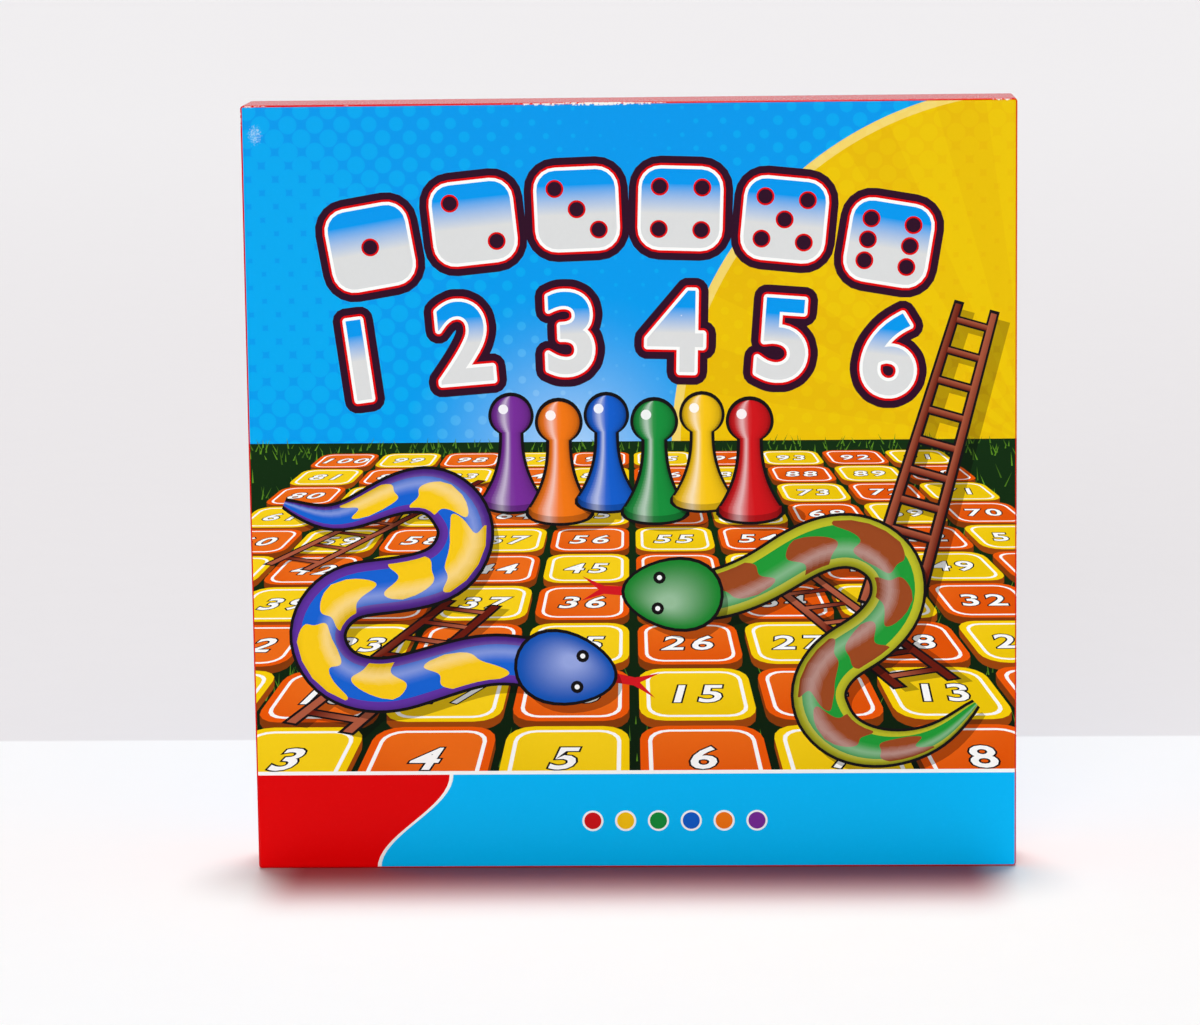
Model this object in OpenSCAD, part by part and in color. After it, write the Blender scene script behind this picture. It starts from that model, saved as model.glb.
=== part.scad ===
// Boxed snakes and ladders set: a rigid cardboard box of lid and tray, standing on its lower edge
// with the printed lid towards the front. Inside are a moulded insert, a board folded in half,
// a rules leaflet, a die and six pawns.
//
// The box is described lying flat: X across, Y up the printed picture, Z from the back of the
// tray (zero) to the face of the lid. The module standing() then stands each piece up, so the
// finished set has Z up, the lid facing -Y and its origin under the middle of the box.

/* [Box] */
// Width of the closed box, across the picture
box_w = 266; // [200:1:400]
// Height of the closed box, up the picture
box_h = 268; // [200:1:400]
// Depth of the closed box, from the lid's face to the tray's back
box_d = 32; // [30:0.5:60]
// Depth of the lid's walls. The tray shows behind them
lid_wall = 27; // [20:0.5:29]
// Thickness of the greyboard in lid and tray
greyboard_t = 1.4; // [1:0.1:2]
// Thickness of the printed paper glued over the greyboard
wrap_t = 0.2; // [0.1:0.05:0.3]
// How far the paper is turned in over the rims
turn_in = 18; // [8:1:20]
// Space between the lid's walls and the tray's, on each side
slide_gap = 0.6; // [0.3:0.1:1]
// Radius of the paper where it bends round the box's edges
edge_r = 1.2; // [0.6:0.1:2]

/* [Corner stays] */
// Thickness of the paper tape that holds each greyboard corner
stay_t = 0.15; // [0.05:0.05:0.3]
// Length of each leg of a corner stay
stay_leg = 14; // [8:1:20]

/* [Moulded insert] */
// Thickness of the formed plastic sheet
sheet_t = 0.8; // [0.5:0.1:1.2]
// Height of the insert over the tray's floor
insert_h = 16.4; // [15.6:0.1:18]
// Space between the insert and the tray's walls
insert_gap = 0.4; // [0.2:0.1:1]
// Radius of the insert's outer corners
insert_corner_r = 6; // [3:1:12]
// Depth of the shelf that the folded board lies on
shelf_depth = 8; // [6.5:0.5:10]
// Space round the folded board on its shelf
shelf_gap = 1; // [0.5:0.1:1.5]
// Radius of the half-round finger notch beside the board
notch_r = 11; // [8:1:16]
// Radius of the feet that hold up the shelf
foot_r = 8; // [5:1:12]
// Length of the stiffening grooves
groove_l = 84; // [50:1:100]
// Number of stiffening grooves
groove_count = 4; // [1:1:4]
// Width of a stiffening groove
groove_w = 7; // [4:1:10]
// Depth of a stiffening groove
groove_depth = 2; // [1:0.5:4]
// Spacing of the stiffening grooves
groove_pitch = 17; // [13:1:22]
// Spacing of the rows of pawn wells
well_pitch_y = 33; // [26:1:40]
// Spacing of the two columns of pawn wells
well_pitch_x = 52; // [42:1:60]
// Space round a pawn or the die in its well
well_gap = 0.5; // [0.3:0.1:1]

/* [Game board] */
// Width of one half of the board
panel_w = 124; // [90:1:126]
// Height of the board
panel_h = 248; // [180:1:252]
// Thickness of the board's greyboard
panel_t = 2; // [1.2:0.1:2.5]
// Thickness of the printed sheet and of the backing paper
paper_t = 0.2; // [0.1:0.05:0.3]
// Border of backing paper turned on to the playing side
border_w = 2; // [1:0.5:4]
// Space between the printed sheet's edge and that border
print_gap = 0.1; // [0.05:0.05:0.3]
// Space between the two printed faces when the board is folded
fold_gap = 0.5; // [0.4:0.1:1]
// Space between each half of the board and the line that it folds on
crease_gap = 0.2; // [0.1:0.05:0.5]

/* [Rules leaflet] */
// Width of the folded leaflet
leaflet_w = 105; // [74:1:110]
// Height of the folded leaflet
leaflet_h = 148; // [105:1:200]
// Thickness of the leaflet's paper
leaf_t = 0.15; // [0.1:0.05:0.2]
// Space between the leaflet's two leaves
leaf_gap = 0.25; // [0.2:0.05:0.3]

/* [Playing pieces] */
// Width of the die
die_w = 16; // [12:0.5:16]
// Radius of a pip
pip_r = 1.5; // [1:0.1:1.7]
// Depth of a pip's recess
pip_depth = 0.5; // [0.3:0.1:0.8]
// Thickness of the paint in a pip
pip_paint_t = 0.2; // [0.1:0.05:0.25]
// Distance from a face's middle to its outer pips
pip_pitch = 4; // [3.5:0.1:4]
// Radius of a pawn's base
pawn_base_r = 6.8; // [5:0.1:7]
// Height of the rim round a pawn's base
pawn_base_h = 2.4; // [1.5:0.1:3]
// Radius of a pawn's neck
pawn_neck_r = 2.3; // [1.8:0.1:3]
// Radius of a pawn's head
pawn_head_r = 4.4; // [3.5:0.1:4.6]
// Height of a pawn
pawn_h = 25; // [22:0.5:27]
// Radius of the dimple moulded under a pawn
pawn_dimple_r = 4.2; // [3:0.1:4.5]
// Depth of that dimple
pawn_dimple_h = 1.2; // [0.6:0.1:1.6]

/* [Hidden] */

$fn = 48;
cut = 1;                    // overrun of every cutting shape
rest_gap = 0.3;             // space under a piece that lies loose on a curved or moulded seat
lay_gap = 0.1;              // space between papers that lie flat on each other

// Levels of lid and tray
lid_rim_z = box_d - lid_wall;
lid_inner_z = box_d - wrap_t - greyboard_t;
tray_rim_z = lid_inner_z;
tray_floor_z = wrap_t + greyboard_t;

// Outlines of lid and tray, from the outside in
wall_stack = 2 * wrap_t + greyboard_t;
tray_w = box_w - 2 * (wall_stack + slide_gap);
tray_h = box_h - 2 * (wall_stack + slide_gap);
tray_inner_w = tray_w - 2 * wall_stack;
tray_inner_h = tray_h - 2 * wall_stack;

// The insert
insert_w = tray_inner_w - 2 * insert_gap;
insert_len = tray_inner_h - 2 * insert_gap;
insert_top_z = tray_floor_z + insert_h;
shelf_z = insert_top_z - shelf_depth;
well_floor_z = tray_floor_z + sheet_t;
shelf_r = 3 * shelf_gap;
shelf_w = crease_gap + panel_w + 2 * shelf_gap;
shelf_x = (crease_gap + panel_w) / 2;
shelf_h = panel_h + 2 * shelf_gap;
wells_x = -insert_w / 4 - shelf_gap;
wells_top_share = 0.36;     // height of the top row of wells, as a share of the insert's length
wells_y = wells_top_share * insert_len;
die_y = wells_y - 3 * well_pitch_y;
groove_y = die_y - well_pitch_y;
groove_end_flat = 0.2;      // straight stretch between the two round corners of a groove's end
foot_x_share = 0.3;         // places of the feet from the shelf's middle, as shares of its size
foot_y_share = 0.38;

// The folded board, counted from the shelf upwards
leaflet_t = 2 * leaf_t + leaf_gap;
board_z = shelf_z + lay_gap + leaflet_t + lay_gap;
print_z = board_z + 2 * paper_t + panel_t;
hinge_z = print_z + fold_gap / 2;

// The die and the pawns
die_round = 1.4;            // radius of the ball that rounds the die, over half the die's width
head_z = pawn_h - pawn_head_r;
pawn_colors = ["crimson", "gold", "forestgreen", "royalblue", "darkorange", "purple"];
// A pawn lies on the rim of its base and on its head, so its axis tips down to the head
pawn_reach = norm([head_z - pawn_base_h, pawn_base_r]);
pawn_tip = atan2(pawn_base_r, head_z - pawn_base_h) - asin(pawn_head_r / pawn_reach);
pawn_lift = pawn_base_r * cos(pawn_tip) + pawn_base_h * sin(pawn_tip);
pawn_lean = pawn_base_r * sin(pawn_tip);

// Stands a piece of the flat box up on its lower edge
module standing() {
    translate([0, box_d / 2, box_h / 2]) rotate([90, 0, 0]) children();
}

module rounded_rect(w, h, r) {
    square([w, h - 2 * r], center = true);
    square([w - 2 * r, h], center = true);
    for (sx = [-1, 1], sy = [-1, 1])
        translate([sx * (w / 2 - r), sy * (h / 2 - r)]) circle(r);
}

// A block of lid or tray from its rim to its closed face, with every edge but the rim's rounded
module case_block(w, h, rim_z, face_z, r) {
    depth = abs(face_z - rim_z);
    intersection() {
        translate([0, 0, min(rim_z, face_z)]) linear_extrude(depth) rounded_rect(w, h, r);
        translate([0, 0, rim_z]) rotate([90, 0, 90])
            linear_extrude(w, center = true) rounded_rect(h, 2 * depth, r);
        translate([0, 0, rim_z]) rotate([90, 0, 0])
            linear_extrude(h, center = true) rounded_rect(w, 2 * depth, r);
    }
}

// A plain block between two levels
module slab(w, h, z_low, z_high) {
    translate([0, 0, (z_low + z_high) / 2]) cube([w, h, z_high - z_low], center = true);
}

// The greyboard of lid or tray: w and h are outside the paper, and inset goes deeper still
module core_block(w, h, rim_z, face_z, inset) {
    inwards = face_z > rim_z ? -1 : 1;
    case_block(
        w - 2 * (wrap_t + inset), h - 2 * (wrap_t + inset),
        rim_z - inwards * wrap_t, face_z + inwards * (wrap_t + inset),
        edge_r - wrap_t
    );
}

// Four paper angles let into the outside of the greyboard, one up each corner
module corner_stays(w, h, rim_z, face_z) {
    inwards = face_z > rim_z ? -1 : 1;
    low = min(rim_z - inwards * wrap_t, face_z + inwards * (wrap_t + greyboard_t));
    high = max(rim_z - inwards * wrap_t, face_z + inwards * (wrap_t + greyboard_t));
    reach = stay_leg + wrap_t;
    difference() {
        intersection() {
            core_block(w, h, rim_z, face_z, 0);
            for (sx = [-1, 1], sy = [-1, 1])
                translate([sx * (w - reach) / 2, sy * (h - reach) / 2, 0])
                    slab(reach, reach, low, high);
        }
        translate([0, 0, low - cut]) linear_extrude(high - low + 2 * cut)
            rounded_rect(w - 2 * (wrap_t + stay_t), h - 2 * (wrap_t + stay_t), edge_r - wrap_t);
    }
}

module greyboard_shell(w, h, rim_z, face_z) {
    inwards = face_z > rim_z ? -1 : 1;
    inner_w = w - 2 * (wrap_t + greyboard_t);
    inner_h = h - 2 * (wrap_t + greyboard_t);
    inner_face = face_z + inwards * (wrap_t + greyboard_t);
    past_rim = rim_z + inwards * cut;
    difference() {
        core_block(w, h, rim_z, face_z, 0);
        slab(inner_w, inner_h, min(inner_face, past_rim), max(inner_face, past_rim));
        corner_stays(w, h, rim_z, face_z);
    }
}

// Printed paper over the outside, round the rim and turned in behind it
module paper_wrap(w, h, rim_z, face_z) {
    inwards = face_z > rim_z ? -1 : 1;
    behind_w = w - 2 * (wrap_t + greyboard_t);
    behind_h = h - 2 * (wrap_t + greyboard_t);
    turn_z = rim_z - inwards * turn_in;
    low = min(rim_z, turn_z);
    high = max(rim_z, turn_z);
    difference() {
        case_block(w, h, rim_z, face_z, edge_r);
        core_block(w, h, rim_z, face_z, 0);
        slab(behind_w, behind_h, rim_z - cut, rim_z + cut);
    }
    difference() {
        slab(behind_w, behind_h, low, high);
        slab(behind_w - 2 * wrap_t, behind_h - 2 * wrap_t, low - cut, high + cut);
    }
}

module lid_shell() {
    color("tan") standing() greyboard_shell(box_w, box_h, lid_rim_z, box_d);
}

module lid_wrap() {
    color("deepskyblue") standing() paper_wrap(box_w, box_h, lid_rim_z, box_d);
}

module lid_corner_stays() {
    color("wheat") standing() corner_stays(box_w, box_h, lid_rim_z, box_d);
}

module tray_shell() {
    color("tan") standing() greyboard_shell(tray_w, tray_h, tray_rim_z, 0);
}

module tray_wrap() {
    color("red") standing() paper_wrap(tray_w, tray_h, tray_rim_z, 0);
}

module tray_corner_stays() {
    color("wheat") standing() corner_stays(tray_w, tray_h, tray_rim_z, 0);
}

// Outline of a pawn lying along X with its base at the left, grown by extra all round
module pawn_outline(extra) {
    first = -pawn_h / 2;
    flank = first + head_z;
    translate([first - pawn_lean - extra, -pawn_base_r - extra])
        square([pawn_lean + pawn_base_h + 2 * extra, 2 * (pawn_base_r + extra)]);
    polygon([
        [first + pawn_base_h, -pawn_base_r - extra], [first + pawn_base_h, pawn_base_r + extra],
        [flank, pawn_head_r + extra], [flank, -pawn_head_r - extra]
    ]);
    translate([flank, 0]) circle(pawn_head_r + extra);
}

module at_pawn_wells() {
    for (i = [0 : 5])
        translate([wells_x + (i % 2 - 0.5) * well_pitch_x, wells_y - floor(i / 2) * well_pitch_y, 0])
            children();
}

module at_feet() {
    for (sx = [-1, 1], sy = [-1, 1])
        translate([shelf_x + sx * foot_x_share * shelf_w, sy * foot_y_share * shelf_h, 0])
            children();
}

module at_grooves() {
    for (i = [0 : groove_count - 1])
        translate([wells_x, groove_y - i * groove_pitch, 0]) children();
}

// The board's shelf with its finger notch. grow is the sheet's thickness on the outside
module shelf_plan(grow) {
    translate([shelf_x, 0])
        rounded_rect(shelf_w + 2 * grow, shelf_h + 2 * grow, shelf_r + grow);
    translate([-shelf_gap, 0]) circle(notch_r + grow);
}

module groove_plan(grow) {
    rounded_rect(groove_l + 2 * grow, groove_w + 2 * grow, (groove_w - groove_end_flat) / 2 + grow);
}

module die_well_plan(grow) {
    rounded_rect(die_w + 2 * (well_gap + grow), die_w + 2 * (well_gap + grow), 2 * well_gap + grow);
}

module prism(z_low, z_high) {
    translate([0, 0, z_low]) linear_extrude(z_high - z_low) children();
}

// A formed plastic sheet: skirt, platform, wells for the pawns and the die, and the board's shelf
module moulded_insert() {
    color("white") standing() difference() {
        union() {
            difference() {
                prism(tray_floor_z, insert_top_z) rounded_rect(insert_w, insert_len, insert_corner_r);
                prism(tray_floor_z - cut, insert_top_z - sheet_t)
                    rounded_rect(
                        insert_w - 2 * sheet_t, insert_len - 2 * sheet_t, insert_corner_r - sheet_t
                    );
            }
            prism(shelf_z - sheet_t, insert_top_z) shelf_plan(sheet_t);
            at_feet() prism(tray_floor_z, shelf_z) circle(foot_r);
            at_pawn_wells() prism(tray_floor_z, insert_top_z) pawn_outline(well_gap + sheet_t);
            translate([wells_x, die_y, 0]) prism(tray_floor_z, insert_top_z) die_well_plan(sheet_t);
            at_grooves()
                prism(insert_top_z - groove_depth - sheet_t, insert_top_z) groove_plan(sheet_t);
        }
        prism(shelf_z, insert_top_z + cut) shelf_plan(0);
        at_feet() prism(well_floor_z, shelf_z + cut) circle(foot_r - sheet_t);
        at_pawn_wells() prism(well_floor_z, insert_top_z + cut) pawn_outline(well_gap);
        translate([wells_x, die_y, 0]) prism(well_floor_z, insert_top_z + cut) die_well_plan(0);
        at_grooves() prism(insert_top_z - groove_depth, insert_top_z + cut) groove_plan(0);
    }
}

// Puts a half of the board that is drawn open, on the left of the fold, into its folded place
module folded() {
    translate([0, 0, hinge_z]) rotate([0, 180, 0]) translate([0, 0, -hinge_z]) children();
}

// side is 1 for the half on the right of the fold and -1 for the half on the left
module half_place(side) {
    translate([side * (crease_gap + panel_w / 2), 0, 0]) children();
}

module half_panel(side) {
    half_place(side)
        slab(panel_w - 2 * paper_t, panel_h - 2 * paper_t, board_z + paper_t, print_z - paper_t);
}

module half_face(side) {
    half_place(side)
        slab(
            panel_w - 2 * (border_w + print_gap), panel_h - 2 * (border_w + print_gap),
            print_z - paper_t, print_z
        );
}

// Backing paper: it covers the back and the edges, and ends as a border on the playing side
module half_back(side) {
    half_place(side) difference() {
        slab(panel_w, panel_h, board_z, print_z);
        slab(panel_w - 2 * paper_t, panel_h - 2 * paper_t, board_z + paper_t, print_z - paper_t);
        slab(panel_w - 2 * border_w, panel_h - 2 * border_w, print_z - paper_t, print_z + cut);
    }
}

module board_panel_right() {
    color("tan") standing() half_panel(1);
}

module board_face_right() {
    color("gold") standing() half_face(1);
}

module board_back_right() {
    color("navy") standing() half_back(1);
}

module board_panel_left() {
    color("tan") standing() folded() half_panel(-1);
}

module board_face_left() {
    color("gold") standing() folded() half_face(-1);
}

module board_back_left() {
    color("navy") standing() folded() half_back(-1);
}

// A sheet folded once, its fold towards the spine of the board
module rules_leaflet() {
    low = shelf_z + lay_gap;
    color("ivory") standing() translate([shelf_x, 0, low]) rotate([90, 0, 0])
        linear_extrude(leaflet_h, center = true) {
            for (z = [0, leaf_t + leaf_gap])
                translate([-leaflet_w / 2, z]) square([leaflet_w, leaf_t]);
            translate([-leaflet_w / 2, leaflet_t / 2]) difference() {
                circle(leaflet_t / 2);
                circle(leaf_gap / 2);
                translate([0, -leaflet_t]) square([leaflet_t, 2 * leaflet_t]);
            }
        }
}

// Places of a face's pips for a count from one to six
function pip_places(count) = concat(
    count % 2 == 1 ? [[0, 0]] : [],
    count >= 2 ? [[-1, 1], [1, -1]] : [],
    count >= 4 ? [[1, 1], [-1, -1]] : [],
    count == 6 ? [[-1, 0], [1, 0]] : []
);

// The turn that brings each count's face to the top. Opposite faces add up to seven
function face_turn(count) = [
    [0, 0, 0], [90, 0, 0], [0, 90, 0], [0, -90, 0], [-90, 0, 0], [180, 0, 0]
][count - 1];

module at_pips() {
    for (count = [1 : 6]) rotate(face_turn(count))
        for (p = pip_places(count)) translate([p[0] * pip_pitch, p[1] * pip_pitch, die_w / 2])
            children();
}

module in_die_well() {
    translate([wells_x, die_y, well_floor_z + rest_gap + die_w / 2]) children();
}

module die() {
    color("white") standing() in_die_well() difference() {
        intersection() {
            cube(die_w, center = true);
            sphere(die_round * die_w / 2);
        }
        at_pips() translate([0, 0, -pip_depth]) cylinder(h = pip_depth + cut, r = pip_r);
    }
}

module die_pips() {
    color("black") standing() in_die_well()
        at_pips() translate([0, 0, -pip_depth]) cylinder(h = pip_paint_t, r = pip_r);
}

// A turned pawn standing on its base: a rim, a hollow-sided cone and a ball for a head
module pawn_body() {
    flank_h = head_z - pawn_base_h;
    flank_in = pawn_base_r - pawn_neck_r;
    step_share = 0.12;      // the cone starts this share of the flank inside the rim
    hollow_r = (flank_h * flank_h + flank_in * flank_in) / flank_in;
    rotate_extrude() difference() {
        union() {
            square([pawn_base_r, pawn_base_h]);
            difference() {
                square([pawn_base_r - step_share * flank_in, head_z]);
                translate([pawn_neck_r + hollow_r, head_z]) circle(hollow_r, $fn = 2 * $fn);
            }
            intersection() {
                translate([0, head_z]) circle(pawn_head_r);
                translate([0, head_z - pawn_head_r]) square([pawn_head_r, 2 * pawn_head_r]);
            }
        }
        translate([0, -cut]) square([pawn_dimple_r, pawn_dimple_h + cut]);
    }
}

// A pawn lying in well number i
module pawn_in_well(i) {
    translate([
        wells_x + (i % 2 - 0.5) * well_pitch_x - pawn_h / 2,
        wells_y - floor(i / 2) * well_pitch_y,
        well_floor_z + rest_gap + pawn_lift
    ])
        rotate([0, 90 + pawn_tip, 0]) pawn_body();
}

module pawn(i) {
    color(pawn_colors[i]) standing() pawn_in_well(i);
}

module pawn_red() { pawn(0); }
module pawn_yellow() { pawn(1); }
module pawn_green() { pawn(2); }
module pawn_blue() { pawn(3); }
module pawn_orange() { pawn(4); }
module pawn_purple() { pawn(5); }

lid_shell();
lid_wrap();
lid_corner_stays();
tray_shell();
tray_wrap();
tray_corner_stays();
moulded_insert();
board_panel_right();
board_face_right();
board_back_right();
board_panel_left();
board_face_left();
board_back_left();
rules_leaflet();
die();
die_pips();
pawn_red();
pawn_yellow();
pawn_green();
pawn_blue();
pawn_orange();
pawn_purple();
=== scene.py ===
"""Boxed snakes and ladders set: printed box, folding board, moulded insert, die and pawns."""

import math
import random
from functools import partial
from types import SimpleNamespace

import bmesh
import bpy
from bpy.props import FloatProperty, FloatVectorProperty, IntProperty, PointerProperty
from mathutils import Matrix, Vector
from mathutils.geometry import convex_hull_2d, delaunay_2d_cdt


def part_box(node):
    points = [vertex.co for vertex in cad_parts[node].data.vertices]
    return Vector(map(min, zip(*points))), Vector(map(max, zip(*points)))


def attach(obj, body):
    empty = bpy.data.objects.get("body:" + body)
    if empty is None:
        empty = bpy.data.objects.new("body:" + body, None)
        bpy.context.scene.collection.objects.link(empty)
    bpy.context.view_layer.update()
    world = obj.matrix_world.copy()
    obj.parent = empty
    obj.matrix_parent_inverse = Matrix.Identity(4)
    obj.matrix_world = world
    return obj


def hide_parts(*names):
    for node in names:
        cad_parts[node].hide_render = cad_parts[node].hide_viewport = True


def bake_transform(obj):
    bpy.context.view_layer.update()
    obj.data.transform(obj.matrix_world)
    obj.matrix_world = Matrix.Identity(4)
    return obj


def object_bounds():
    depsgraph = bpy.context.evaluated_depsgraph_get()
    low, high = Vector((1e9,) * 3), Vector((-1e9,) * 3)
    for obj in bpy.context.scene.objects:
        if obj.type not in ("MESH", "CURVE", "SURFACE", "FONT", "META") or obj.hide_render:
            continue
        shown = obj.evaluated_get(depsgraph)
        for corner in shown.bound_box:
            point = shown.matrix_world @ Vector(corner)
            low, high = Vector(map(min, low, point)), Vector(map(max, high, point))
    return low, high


bl_info = {
    "name": "Boxed Snakes and Ladders Set",
    "version": (1, 0, 0),
    "blender": (4, 5, 0),
    "location": "3D Viewport > Sidebar > Board Game",
    "description": "Dresses a boxed snakes and ladders set with its printed paper, board and pieces",
    "category": "Object",
}

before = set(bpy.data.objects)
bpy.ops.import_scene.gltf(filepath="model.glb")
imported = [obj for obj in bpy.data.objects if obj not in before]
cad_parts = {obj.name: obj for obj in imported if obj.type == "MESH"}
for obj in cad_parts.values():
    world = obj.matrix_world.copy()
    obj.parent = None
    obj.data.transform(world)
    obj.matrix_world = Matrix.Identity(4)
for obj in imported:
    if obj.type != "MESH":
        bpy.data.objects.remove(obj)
CAD_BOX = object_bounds()
MM = 0.001                  # a millimetre in Blender's metres

# Sizes of the box, read from the frame, in millimetres
LID_LOW, LID_HIGH = (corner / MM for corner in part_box("lid_wrap"))
TRAY_LOW, TRAY_HIGH = (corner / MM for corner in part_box("tray_wrap"))
LID_W = LID_HIGH.x - LID_LOW.x
LID_H = LID_HIGH.z - LID_LOW.z
TRAY_W = TRAY_HIGH.x - TRAY_LOW.x
TRAY_H = TRAY_HIGH.z - TRAY_LOW.z
MIDDLE_Z = (LID_LOW.z + LID_HIGH.z) / 2
EDGE_R = 1.2                # round of the paper over the box's edges
WRAP_T = 0.2                # thickness of the printed paper
BOARD_T = 1.4               # thickness of the box's greyboard
TURN_IN = 18.0              # depth of the paper turned in behind the rim


def linear(red, green, blue):
    """A screen colour, 0 to 255, as the linear colour that the shaders use."""
    def channel(value):
        share = value / 255
        return share / 12.92 if share <= 0.04045 else ((share + 0.055) / 1.055) ** 2.4
    return channel(red), channel(green), channel(blue)


def colour_property(name, description, red, green, blue):
    """A colour that a user can change, given as a screen colour."""
    return FloatVectorProperty(
        name=name, description=description, subtype="COLOR", size=3, min=0, max=1,
        default=linear(red, green, blue),
    )


def number_property(name, description, default, low=0, high=100):
    """A number that a user can change."""
    return FloatProperty(name=name, description=description, default=default, min=low, max=high)


def mixed(first, second, share):
    """A colour that is the given share of the way from the first to the second."""
    return tuple(a + (b - a) * share for a, b in zip(first, second))


def scaled(colour, factor):
    """A colour made darker or lighter by a factor, up to full ink."""
    return tuple(min(c * factor, 1.0) for c in colour)


def even(low, high, count):
    """Values at even steps from low to high, both with them."""
    return [low + (high - low) * i / count for i in range(count + 1)]


class BoxInks(bpy.types.PropertyGroup):
    """Printing inks of the box and the board"""
    sky: colour_property("Sky", "Blue of the lid's upper half", 0, 151, 232)
    sun: colour_property("Sun", "Yellow behind the lid's upper right corner", 230, 184, 0)
    red: colour_property("Red", "Red of the walls and the band's end", 221, 0, 3)
    plum: colour_property("Plum", "Dark outline of the big tiles", 46, 10, 36)
    deep_blue: colour_property("Deep blue", "Top of the big tiles' fade", 0, 150, 234)
    white: colour_property("White", "Unprinted paper in the pictures", 250, 250, 247)
    silver: colour_property("Silver", "Foot of the fade in the big tiles and numerals", 218, 219, 218)
    band: colour_property("Band", "Blue of the lid's lower band", 0, 182, 248)
    yellow_tile: colour_property("Yellow tile", "Light squares of the board", 244, 204, 2)
    orange_tile: colour_property("Orange tile", "Dark squares of the board", 232, 86, 0)
    tile_side: colour_property("Tile side", "Thick edges of the squares", 150, 66, 6)
    grass: colour_property("Grass", "Ground under the board", 14, 44, 12)
    blade: colour_property("Blade", "Blades of grass", 96, 150, 34)
    ladder: colour_property("Ladder", "Wood of the ladders", 146, 38, 18)
    ink_black: colour_property("Black", "Outlines and pips", 18, 14, 16)


class BoxSizes(bpy.types.PropertyGroup):
    """Sizes of the picture on the lid and of the board's squares, in millimetres"""
    band_height: number_property("Band height", "Height of the lid's lower band", 33.5, 10, 60)
    horizon: number_property("Horizon", "Height of the pictured board's far edge", 146.0, 100, 200)
    big_tile: number_property("Big tile", "Width of a big tile with pips", 27.0, 10, 60)
    numeral_height: number_property("Numerals", "Height of the big numerals under the tiles", 39.0, 10, 60)
    squares: IntProperty(name="Squares", description="Squares along a side of the board",
                         default=10, min=4, max=12)
    dot_pitch: number_property("Dot pitch", "Spacing of the printed halftone dots", 6.6, 1, 12)


class StageSettings(bpy.types.PropertyGroup):
    """Lights, surroundings and floor"""
    floor_colour: colour_property("Floor", "Pale floor in front", 252, 251, 251)
    back_colour: colour_property("Floor behind", "Greyer floor behind the box", 235, 231, 232)
    wall_colour: colour_property("Surroundings", "Colour of the even light from all round", 236, 238, 242)
    seam: FloatProperty(name="Seam", description="How far behind the box's front the floor turns greyer",
                        default=0.205, min=0, subtype="DISTANCE", unit="LENGTH")
    surround: number_property("Surround", "Strength of the even light from all round", 0.12)
    horizon_glow: number_property("Horizon glow", "Extra light that the walls round the floor give", 1.2)
    key_strength: number_property("Key light", "Strength of the soft light from overhead", 2.3)
    fill_strength: number_property("Fill light", "Strength of the soft light from the front", 1.3)


def inks():
    """The printing inks, as plain colours by name."""
    chosen = bpy.context.scene.game_inks
    return SimpleNamespace(**{name: tuple(getattr(chosen, name)) for name in BoxInks.__annotations__})


def sizes():
    """The sizes that a user can change, in millimetres."""
    return bpy.context.scene.game_sizes


# Shader node groups and materials

FAR_AWAY = (0, 0, 9)        # a place that nothing of the set comes near, in metres


def new_group(name, inputs, outputs):
    """An empty node group with the given sockets, and its input and output nodes."""
    group = bpy.data.node_groups.new(name, "ShaderNodeTree")
    for label, kind, default in inputs:
        socket = group.interface.new_socket(label, in_out="INPUT", socket_type=kind)
        socket.default_value = default
    for label, kind in outputs:
        group.interface.new_socket(label, in_out="OUTPUT", socket_type=kind)
    return group, group.nodes.new("NodeGroupInput"), group.nodes.new("NodeGroupOutput")


class Wiring:
    """Adds nodes to a tree and joins them up."""

    def __init__(self, tree):
        self.tree = tree

    def node(self, kind, values=(), **options):
        """A new node, whose inputs get the given values or are joined to the given sockets."""
        made = self.tree.nodes.new(kind)
        for key, value in options.items():
            setattr(made, key, value)
        for key, value in dict(values).items():
            socket = made.inputs[key]
            if isinstance(value, bpy.types.NodeSocket):
                self.tree.links.new(value, socket)
            else:
                socket.default_value = value
        return made

    def join(self, source, target):
        self.tree.links.new(source, target)

    def maths(self, operation, *values, clamp=False):
        made = self.node("ShaderNodeMath", enumerate(values), operation=operation, use_clamp=clamp)
        return made.outputs[0]

    def vector(self, operation, *values):
        return self.node("ShaderNodeVectorMath", enumerate(values), operation=operation).outputs[0]

    def noise(self, place, scale, detail, roughness=0.5):
        """Soft noise from 0 to 1 over the surface."""
        return self.node("ShaderNodeTexNoise", {
            "Vector": place, "Scale": scale, "Detail": detail, "Roughness": roughness,
        }).outputs["Fac"]

    def place(self):
        """Where a point lies in its own object, in metres."""
        return self.node("ShaderNodeTexCoord").outputs["Object"]

    def split(self, value):
        """The three parts of a vector."""
        return self.node("ShaderNodeSeparateXYZ", {0: value}).outputs

    def length(self, value):
        return self.node("ShaderNodeVectorMath", {0: value}, operation="LENGTH").outputs["Value"]

    def ramp(self, value, low, high, to_low=0.0, to_high=1.0):
        """A smooth step between two levels of a value."""
        made = self.node("ShaderNodeMapRange", {
            "Value": value, "From Min": low, "From Max": high, "To Min": to_low, "To Max": to_high,
        }, interpolation_type="SMOOTHSTEP")
        return made.outputs[0]

    def blend(self, share, first, second, mode="MIX"):
        """Two colours mixed, each given as a socket or as a plain colour."""
        made = self.node("ShaderNodeMix", data_type="RGBA", blend_type=mode)
        sockets = made.inputs[0], made.inputs[6], made.inputs[7]
        for socket, value in zip(sockets, (share, first, second)):
            if isinstance(value, bpy.types.NodeSocket):
                self.tree.links.new(value, socket)
            else:
                socket.default_value = (*value, 1) if isinstance(value, tuple) else value
        return made.outputs[2]


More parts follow.
